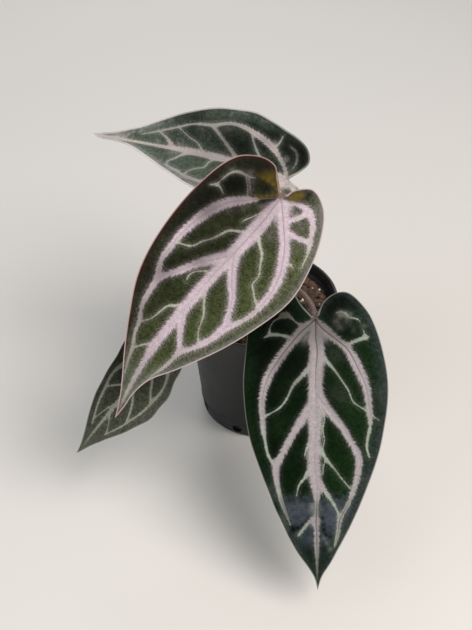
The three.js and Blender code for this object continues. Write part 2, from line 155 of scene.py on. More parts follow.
soft_light("large softbox", (0.55, -0.55, 1.15), 0.9, 18, "#fff8f2")
soft_light("fill softbox", (-1.0, -0.6, 0.8), 1.2, 6, "#f2f6ff")
soft_light("back softbox", (-0.2, 1.1, 0.9), 0.8, 5, "#ffffff")
world = bpy.data.worlds.new("pale studio")
world.use_nodes = True
feed(world.node_tree.nodes["Background"], {"Color": "#dfe2e6", "Strength": 0.36})
bpy.context.scene.world = world
bpy.context.scene.view_settings.view_transform = "Standard"

board_mesh = bmesh.new()
bmesh.ops.create_grid(board_mesh, x_segments=1, y_segments=1, size=FLOOR_SIDE / 2)
board = add_object("studio_board", mesh_from(board_mesh, "studio_board"))
board_material, _, _ = new_material("matt board", {"Base Color": FLOOR_COLOUR, "Roughness": 0.9})
board.data.materials.append(board_material)


# Nursery pot: injection-moulded black polypropylene, 10 cm wide, with a stepped rim band
# for stacking, a grooved base and drain holes low in its wall. Plain, with no marks.
POT_HEIGHT = 92 * MM
POT_BASE_RADIUS = 38 * MM
POT_FLOOR = 2.6 * MM
POT_STEPS = 160
DRAIN_HOLES = 8
DRAIN_HOLE_RADIUS = 3.2 * MM
DRAIN_HOLE_SIDES = 32
DRAIN_CUT = 12 * MM
MOULD_GRAIN = 0.9 * MM
DUST_FOOT = 70 * MM
DUST_PATCH = 17 * MM


def spun(profile, steps):
    """A closed mesh, turned about the pot's axis from a profile of radius and height."""
    bm = bmesh.new()
    corners = [bm.verts.new((radius, 0, height)) for radius, height in profile]
    edges = [bm.edges.new(pair) for pair in zip(corners, corners[1:])]
    bmesh.ops.spin(bm, geom=corners + edges, axis=(0, 0, 1), cent=(0, 0, 0), steps=steps,
                   angle=2 * math.pi, use_merge=True)
    bmesh.ops.remove_doubles(bm, verts=bm.verts[:], dist=1e-6)
    bmesh.ops.recalc_face_normals(bm, faces=bm.faces[:])
    return bm


def add_piece(name, bm, material, nodes, crease=40):
    """Makes the piece an object that rides on the plant and stands for its nodes."""
    piece = add_object(name, mesh_from(bm, name))
    piece.data.materials.append(material)
    piece.data.shade_smooth()
    piece.data.set_sharp_from_angle(angle=math.radians(crease))
    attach(piece, "root")
    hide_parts(*nodes)
    return piece


def cut_away(piece, cutter_mesh):
    """Cuts the cutter's shape out of the piece for good."""
    cutter = add_object("cutter", mesh_from(cutter_mesh, "cutter"))
    cut = piece.modifiers.new("cut", "BOOLEAN")
    cut.operation = "DIFFERENCE"
    cut.solver = "EXACT"
    cut.object = cutter
    shaped = piece.evaluated_get(bpy.context.evaluated_depsgraph_get())
    piece.data = bpy.data.meshes.new_from_object(shaped)
    piece.modifiers.clear()
    bpy.data.objects.remove(cutter)


# Radius and height in millimetres, up the outside and down the inside
pot_outside = [
    (0, 0), (25.5, 0), (26, 0.1), (27, 1.0), (27.6, 1.1), (31.4, 1.1), (32, 1.0), (33, 0.1),
    (33.5, 0), (36.3, 0), (37.3, 0.4), (37.9, 1.3), (38.2, 2.6),
    (38.95, 10), (39.35, 10.35), (39.4, 11.4), (39.1, 11.8),
    (45.9, 79.6), (46.6, 81.2), (48.6, 83.2), (49.2, 84.0), (49.45, 85.0),
    (49.9, 90.0), (49.85, 91.2), (49.4, 91.85), (48.8, 92), (48.2, 91.8), (47.9, 91.2),
]
pot_inside = [
    (47.6, 85), (47.3, 83.6), (46.2, 82.2), (45.3, 81.2), (45.05, 79.8),
    (37.2, 4.2), (36.4, 2.9), (35.2, 2.6), (0, 2.6),
]
pot_mesh = spun([(r * MM, h * MM) for r, h in pot_outside + pot_inside], POT_STEPS)

# Moulded polypropylene: satin, with a fine pebbled grain that breaks up its highlights. A
# film of dust and dried water dulls it towards the rim.
pot_plastic, add, shader = new_material("black polypropylene", {"IOR": 1.49})
place = add("TexCoord", output="Object")
grain = add("TexNoise", place, 1 / MOULD_GRAIN, 3.0)
dust = add("TexNoise", place, 1 / DUST_PATCH, 6.0, 0.7)
height = add("SeparateXYZ", place, output="Z")
most = add("MapRange", height, DUST_FOOT, POT_HEIGHT, 0.05, 0.4)
film = add("MapRange", dust, 0.45, 0.75, 0, most)
tint = add("Mix", film, "#141517", "#4a4742")
gloss = add("MapRange", dust, 0, 1, 0.36, 0.62)
bump = add("Bump", Height=grain, Strength=0.35, Distance=0.08 * MM)
feed(shader, {"Base Color": tint, "Roughness": gloss, "Normal": bump})

pot = add_piece("nursery_pot_moulded", pot_mesh, pot_plastic, ["nursery_pot"])
holes = bmesh.new()
for i in range(DRAIN_HOLES):
    turn = Matrix.Rotation(2 * math.pi * (i + 0.5) / DRAIN_HOLES, 4, "Z")
    reach = Matrix.Translation((POT_BASE_RADIUS, 0, POT_FLOOR + DRAIN_HOLE_RADIUS))
    lie = Matrix.Rotation(math.pi / 2, 4, "Y")
    bmesh.ops.create_cone(holes, cap_ends=True, segments=DRAIN_HOLE_SIDES,
                          radius1=DRAIN_HOLE_RADIUS, radius2=DRAIN_HOLE_RADIUS,
                          depth=DRAIN_CUT, matrix=turn @ reach @ lie)
cut_away(pot, holes)


# Potting mix: fine composted bark, with fir bark chips, white perlite and a few fibres on
# its top. It fills the pot to a finger below the rim, loose and uneven.
MIX_TOP = 83 * MM
MIX_BUMP = 1.1 * MM
MIX_RADIUS = 45 * MM
CRUMB = 1.6 * MM
CRUMB_RISE = 1.0 * MM
BARE_RADIUS = 12 * MM
BARK_CHIPS = 420
CHIP_REACH = 41 * MM
CHIP_SHAPES = 9
PERLITE_GRAINS = 150
GRAIN_REACH = 42 * MM
FIBRES = 60
FIBRE_REACH = 38 * MM
FIBRE_RUNS = (5, 14)
FIBRE_RADII = (0.12, 0.25)
WALL_REACH = 43 * MM
draws = random.Random(7)


def mix_height(x, y):
    """Height of the mix at a place, in long soft swells."""
    x, y = x / MM, y / MM
    swell = math.sin(0.21 * x + 1.3) * math.cos(0.17 * y - 0.6)
    return MIX_TOP + MIX_BUMP * (0.7 * swell + 0.3 * math.sin(0.53 * x - 0.47 * y))


def mix_spot(inner, outer):
    """A random place on the mix between two radii."""
    angle = draws.uniform(0, 2 * math.pi)
    radius = math.sqrt(draws.uniform(inner ** 2, outer ** 2))
    x, y = radius * math.cos(angle), radius * math.sin(angle)
    return Vector((x, y, mix_height(x, y)))


def tumbled(low, high):
    """A random turn, with a tilt between two angles."""
    tilt = Matrix.Rotation(draws.uniform(low, high), 4, (draws.uniform(-1, 1),
                                                         draws.uniform(-1, 1), 0.01))
    return Matrix.Rotation(draws.uniform(0, 2 * math.pi), 4, "Z") @ tilt


def strewn(count, pick, reach, lengths, widths, depths, lifts, tilt):
    """Copies of the shapes that pick gives, strewn over the mix at random sizes and turns.
    Their points keep a tint and their place on the copy itself."""
    bm = bmesh.new()
    tints = bm.verts.layers.float.new("tint")
    own_places = bm.verts.layers.float_vector.new("own_place")
    for _ in range(count):
        spot = mix_spot(BARE_RADIUS, reach)
        long = draws.uniform(*lengths) * MM
        wide, deep = long * draws.uniform(*widths), long * draws.uniform(*depths)
        spot.z += draws.uniform(*lifts) * MM
        shape = pick()
        move = Matrix.Translation(spot) @ tumbled(-tilt, tilt)
        tint = draws.random()
        before = len(bm.verts)
        bm.from_mesh(shape)
        bm.verts.ensure_lookup_table()
        for vert in bm.verts[before:]:
            sized = Matrix.Diagonal((long, wide, deep, 1)) @ vert.co
            vert[tints] = tint
            vert[own_places] = sized + Vector((0, 0, tint))
            vert.co = move @ sized
    return bm


def chip_shape(name, seed):
    """One unit-sized flake of bark: a bevelled block with broken corners and a curl."""
    chance = random.Random(seed)
    bm = bmesh.new()
    bmesh.ops.create_cube(bm, size=1)
    for _ in range(3):
        cut = Vector((chance.uniform(-1, 1), chance.uniform(-1, 1), chance.uniform(-0.5, 0.5)))
        cut.normalize()
        bmesh.ops.bisect_plane(bm, geom=bm.verts[:] + bm.edges[:] + bm.faces[:],
                               plane_co=cut * chance.uniform(0.38, 0.5), plane_no=cut,
                               clear_outer=True)
        rim = [edge for edge in bm.edges if edge.is_boundary]
        bmesh.ops.holes_fill(bm, edges=rim)
    bmesh.ops.bevel(bm, geom=bm.edges[:], offset=0.06, offset_type="OFFSET", segments=1,
                    profile=0.5, affect="EDGES", material=-1)
    bmesh.ops.remove_doubles(bm, verts=bm.verts[:], dist=0.01)
    for vert in bm.verts:
        vert.co.z += 0.25 * (vert.co.x ** 2 - vert.co.y ** 2) + chance.uniform(-0.05, 0.05)
    bmesh.ops.recalc_face_normals(bm, faces=bm.faces[:])
    return mesh_from(bm, name)


bed_profile = [(0, 3.2), (30, 3.2), (36.2, 3.3)]
bed_profile += [(36.2 + 8.6 * i / 12, 3.3 + 77.2 * i / 12) for i in range(1, 13)]
bed_profile += [(MIX_RADIUS / MM * (1 - i / 60), 83) for i in range(60)] + [(0, 83)]
bed = spun([(r * MM, h * MM) for r, h in bed_profile], 150)
for vert in bed.verts:
    if vert.co.z > MIX_TOP - 0.1 * MM:
        x, y = vert.co.x, vert.co.y
        crumbs = noise.fractal(Vector((x, y, 0)) * 260, 0.7, 2.0, 4)
        vert.co.z = mix_height(x, y) + CRUMB_RISE * crumbs

# Composted bark: dark, dull and crumbly, so it is all shadow between the larger pieces
bark_mix, add, shader = new_material("composted bark", {"Roughness": 0.95})
place = add("TexCoord", output="Object")
crumb = add("TexVoronoi", place, 1 / CRUMB, output="Color")
hollow = add("TexVoronoi", place, 1 / CRUMB)
speck = add("TexNoise", place, 1 / (2.5 * MM), 6.0, 0.75)
dark = add("Mix", speck, "#120c08", "#3f2b1d")
crumb_value = add("RGBToBW", crumb)
tone = add("Mix", crumb_value, dark, "#24170f")
bump = add("Bump", Height=hollow, Strength=0.8, Distance=0.6 * MM)
feed(shader, {"Base Color": tone, "Normal": bump})
add_piece("potting_mix_bed", bed, bark_mix, ["potting_mix"])

chip_shapes = [chip_shape(f"bark_flake_{i}", 30 + i) for i in range(CHIP_SHAPES)]
chips = strewn(BARK_CHIPS, lambda: draws.choice(chip_shapes), CHIP_REACH, lengths=(3, 10),
               widths=(0.4, 0.75), depths=(0.18, 0.35), lifts=(-0.3, 1.6), tilt=0.5)

# Fir bark: cork in dull red-brown layers along each chip, with dark cracks between them
fir_bark, add, shader = new_material("chipped fir bark", {"Roughness": 0.88})
own_place = add("Attribute", attribute_name="own_place", output="Vector")
own_tint = add("Attribute", attribute_name="tint", output="Fac")
layered = add("Mapping", Vector=own_place, Scale=(0.22, 1, 2.2))
cork = add("TexNoise", layered, 1 / (1.1 * MM), 7.0, 0.72)
patch = add("TexNoise", own_place, 1 / (3 * MM), 3.0)
body = add("Mix", own_tint, "#291c15", "#563c2b")
paler = add("MapRange", patch, 0.5, 0.7, 0, 0.6)
patched = add("Mix", paler, body, "#6a5541")
cracked = add("MapRange", cork, 0.52, 0.66)
worn = add("Mix", cracked, patched, "#130c09")
bump = add("Bump", Height=cork, Strength=0.8, Distance=-0.6 * MM)
feed(shader, {"Base Color": worn, "Normal": bump})
add_piece("bark_chips", chips, fir_bark, ["potting_mix"], crease=35)

grain_ball = bmesh.new()
bmesh.ops.create_icosphere(grain_ball, subdivisions=2, radius=1)
for vert in grain_ball.verts:
    vert.co *= 1 + 0.35 * noise.noise(vert.co * 2.1)
grain_shape = mesh_from(grain_ball, "perlite_grain")
perlite = strewn(PERLITE_GRAINS, lambda: grain_shape, GRAIN_REACH, lengths=(0.7, 2.1),
                 widths=(0.7, 1), depths=(0.6, 0.9), lifts=(0.2, 1.4), tilt=1.5)

# Perlite: popped volcanic glass, chalky white and porous, stained where it lies in the mix
perlite_rock, add, shader = new_material("expanded perlite", {"Roughness": 0.9})
place = add("TexCoord", output="Object")
pores = add("TexVoronoi", place, 1 / (0.7 * MM))
stain = add("TexNoise", place, 1 / (11 * MM), 4.0)
stained = add("MapRange", stain, 0.4, 0.75)
rock = add("Mix", stained, "#cfcabd", "#8d7f68")
bump = add("Bump", Height=pores, Strength=0.6, Distance=0.25 * MM)
feed(shader, {"Base Color": rock, "Normal": bump})
add_piece("perlite_grains", perlite, perlite_rock, ["potting_mix"], crease=60)


def grow_tube(bm, path, radii, sides, shape=lambda angle, share: 1.0):
    """Extrudes a ring along a path. shape gives the ring's outline at an angle and share."""
    along = bm.verts.layers.float.get("along") or bm.verts.layers.float.new("along")
    last = len(path) - 1
    across = None
    ring = bmesh.ops.create_circle(bm, segments=sides, radius=1)["verts"]
    edges = list({edge for vert in ring for edge in vert.link_edges})
    angles = {vert: math.atan2(vert.co.y, vert.co.x) for vert in ring}
    for step, (centre, radius) in enumerate(zip(path, radii)):
        tangent = (path[min(step + 1, last)] - path[max(step - 1, 0)]).normalized()
        if step == 0:
            across = tangent.orthogonal().normalized()
        else:
            across = (across - tangent * across.dot(tangent)).normalized()
            made = bmesh.ops.extrude_edge_only(bm, edges=edges)["geom"]
            new_ring = [part for part in made if isinstance(part, bmesh.types.BMVert)]
            in_ring = set(new_ring)
            edges = [part for part in made if isinstance(part, bmesh.types.BMEdge)
                     and part.verts[0] in in_ring and part.verts[1] in in_ring]
            old = {tuple(vert.co): angles[vert] for vert in ring}
            angles = {vert: old[tuple(vert.co)] for vert in new_ring}
            ring = new_ring
        beside = tangent.cross(across)
        share = step / last
        for vert in ring:
            angle = angles[vert]
            reach = radius * shape(angle, share)
            vert.co = centre + reach * (math.cos(angle) * across + math.sin(angle) * beside)
            vert[along] = share
        if step == 0:
            bmesh.ops.contextual_create(bm, geom=edges)
    bmesh.ops.contextual_create(bm, geom=edges)
    bmesh.ops.recalc_face_normals(bm, faces=bm.faces[:])


def bent_path(corners, steps):
    """Points of a smooth curve that runs from the first corner to the last."""
    points = []
    for step in range(steps + 1):
        level = [Vector(corner) for corner in corners]
        while len(level) > 1:
            level = [a.lerp(b, step / steps) for a, b in zip(level, level[1:])]
        points.append(level[0])
    return points


fibres = bmesh.new()
for i in range(FIBRES):
    start = mix_spot(BARE_RADIUS, FIBRE_REACH)
    way = draws.uniform(0, 2 * math.pi)
    run = draws.uniform(*FIBRE_RUNS) * MM
    end = start + run * Vector((math.cos(way), math.sin(way), 0))
    if math.hypot(end.x, end.y) > WALL_REACH:
        end = start * 0.6
    end.z = mix_height(end.x, end.y)
    middle = (start + end) / 2 + Vector((draws.uniform(-3, 3), draws.uniform(-3, 3),
                                         draws.uniform(2, 6))) * MM
    path = bent_path([start, middle, end], 8)
    grow_tube(fibres, path, [draws.uniform(*FIBRE_RADII) * MM] * len(path), 5)

# Coir fibre: coconut husk, dry and dull, from dark brown to straw along its length
coir, add, shader = new_material("coir fibre", {"Roughness": 0.8})
place = add("TexCoord", output="Object")
patchy = add("TexNoise", place, 1 / (6 * MM))
husk = add("Mix", patchy, "#4b3320", "#8d6b48")
feed(shader, {"Base Color": husk})
add_piece("coir_fibres", fibres, coir, ["potting_mix"])


# Stem: short, upright and green-brown, ringed by the scars of dropped leaves. Thick aerial
# roots leave it just above the mix and dive into the bark.
STEM_RADIUS = 6 * MM
STEM_BOTTOM = 62 * MM
STEM_TOP = 96 * MM
SCAR_SPACING = 6.5 * MM
SCAR_DEPTH = 0.5 * MM
ROOT_ANGLES = (-85, 20, 145, 200)
ROOT_PATH = (4, 89), (11, 89), (14, 88), (16, 78)
ROOT_RADIUS = 1.5 * MM
STEM_STEPS = 60

stem_profile = [(0, STEM_BOTTOM)]
for i in range(STEM_STEPS + 1):
    height = STEM_BOTTOM + (STEM_TOP - 3 * MM - STEM_BOTTOM) * i / STEM_STEPS
    ring_share = math.cos(math.pi * (height - STEM_BOTTOM) / SCAR_SPACING) ** 8
    stem_profile.append((STEM_RADIUS - SCAR_DEPTH * (1 - ring_share), height))
stem_profile += [(STEM_RADIUS * 0.8, STEM_TOP - 1.6 * MM),
                 (STEM_RADIUS * 0.45, STEM_TOP - 0.4 * MM), (0, STEM_TOP)]
stem_mesh = spun(stem_profile, 48)
for vert in stem_mesh.verts:
    vert.co += vert.normal * 0.35 * MM * noise.noise(vert.co * 300)
for degrees in ROOT_ANGLES:
    angle = math.radians(degrees)
    out = Vector((math.cos(angle), math.sin(angle), 0))
    path = bent_path([(out * far + Vector((0, 0, high))) * MM for far, high in ROOT_PATH], 16)
    knobs = [ROOT_RADIUS * (1 + 0.12 * noise.noise(point * 400)) for point in path]
    grow_tube(stem_mesh, path, knobs, 16)

# Stem skin: living green tissue that corks over to brown from the scars outwards
stem_skin, add, shader = new_material("stem skin", {"Roughness": 0.6, "IOR": 1.4})
place = add("TexCoord", output="Object")
mottle = add("TexNoise", place, 1 / (3 * MM), 6.0, 0.7)
corked = add("MapRange", mottle, 0.4, 0.62)
skin = add("Mix", corked, "#5b6034", "#614530")
bump = add("Bump", Height=mottle, Strength=0.6, Distance=0.3 * MM)
feed(shader, {"Base Color": skin, "Normal": bump})
add_piece("stem_with_roots", stem_mesh, stem_skin, ["stem"])


# Bracts: dried cataphylls, papery scales that once wrapped a new leaf. They stand against
# the stem, reddish brown and split into fibres at their tops.
BRACT_FOOT = MIX_TOP + MIX_BUMP + 0.8 * MM
BRACT_THICKNESS = 0.35 * MM


def bract(name, node, degrees, height, half_turn):
    """One scale, curled part of the way round the stem, that tapers and leans out as it
    rises."""
    bm = bmesh.new()
    bmesh.ops.create_grid(bm, x_segments=20, y_segments=30, size=1)
    bmesh.ops.solidify(bm, geom=bm.faces[:], thickness=1)
    for vert in bm.verts:
        rise = (vert.co.y + 1) / 2
        depth = -vert.co.z * BRACT_THICKNESS
        tatter = 0.05 * noise.noise(Vector((vert.co.x * 9, 3.1, degrees)))
        width = half_turn * (1 - 0.85 * min(1, rise + tatter) ** 2)
        turn = math.radians(degrees) + width * vert.co.x
        crease = 0.25 * MM * noise.noise(Vector((turn * 14, rise * 3, 0.5)))
        radius = STEM_RADIUS + 0.45 * MM + 5 * MM * rise ** 2 + depth + crease
        lift = BRACT_FOOT + height * rise * (1 + tatter)
        vert.co = (radius * math.cos(turn), radius * math.sin(turn), lift)
    bmesh.ops.recalc_face_normals(bm, faces=bm.faces[:])
    add_piece(name, bm, dried_bract, [node])


# Dried bract: dead leaf tissue as thin as paper, with strands that run up it
dried_bract, add, shader = new_material("dried bract", {"Roughness": 0.7})
place = add("TexCoord", output="Object")
upright = add("Mapping", Vector=place, Scale=(1, 1, 0.12))
strand = add("TexNoise", upright, 1 / (0.8 * MM), 4.0)
paper = add("Mix", strand, "#4f2b21", "#a87d66")
bump = add("Bump", Height=strand, Strength=0.7, Distance=0.2 * MM)
feed(shader, {"Base Color": paper, "Normal": bump})
bract("bract_front_paper", "bract_front", -147, 18 * MM, 0.2)
bract("bract_back_paper", "bract_back", 115, 26 * MM, 0.4)


# Growing tip: the next leaf, still rolled lengthwise like a scroll, bronze pink at its point
# and greener below. One edge of the roll laps over the other.
TIP_FOOT = STEM_TOP - 0.5 * MM
TIP_LENGTH = 44 * MM
TIP_STEPS = 40
LAP = 0.16

tip_path = bent_path([
    (0, 0, TIP_FOOT), (0.3 * MM, 0.2 * MM, TIP_FOOT + 0.4 * TIP_LENGTH),
    (1.6 * MM, 1 * MM, TIP_FOOT + 0.7 * TIP_LENGTH), (5 * MM, 3.4 * MM, TIP_FOOT + TIP_LENGTH),
], TIP_STEPS)
tip_radii = [(0.3 + 2.25 * math.cos(i / TIP_STEPS * math.pi / 2) ** 0.8) * MM
             for i in range(TIP_STEPS + 1)]
tip_mesh = bmesh.new()


def scroll(angle, share):
    """A round section that winds outwards, and turns as the roll rises."""
    wound = ((angle + 4.2 * share) / (2 * math.pi)) % 1.0
    return 1 - LAP + LAP * wound


grow_tube(tip_mesh, tip_path, tip_radii, 64, scroll)

# Young leaf: soft and smooth, not yet velvety, with the sheen of wax over bronze pink
young_leaf, add, shader = new_material("rolled young leaf", {"Roughness": 0.38, "IOR": 1.45})
place = add("TexCoord", output="Object")
up_share = add("Attribute", attribute_name="along", output="Fac")
upright = add("Mapping", Vector=place, Scale=(1, 1, 0.15))
streak = add("TexNoise", upright, 1 / (0.9 * MM), 3.0)
flush = add("Mix", up_share, "#6c6f3a", "#96594a")
streaked = add("MapRange", streak, 0.5, 0.8, 0, 0.5)
lined = add("Mix", streaked, flush, "#c39a88")
feed(shader, {"Base Color": lined})
add_piece("rolled_young_leaf", tip_mesh, young_leaf, ["growing_tip"], crease=60)


# Leaves: four heart-shaped blades of living tissue, hardly thicker than card, with a velvet
# top and raised ribs below. Each has grown on its own stalk, and bends back along its midrib
# and waves along its margin.

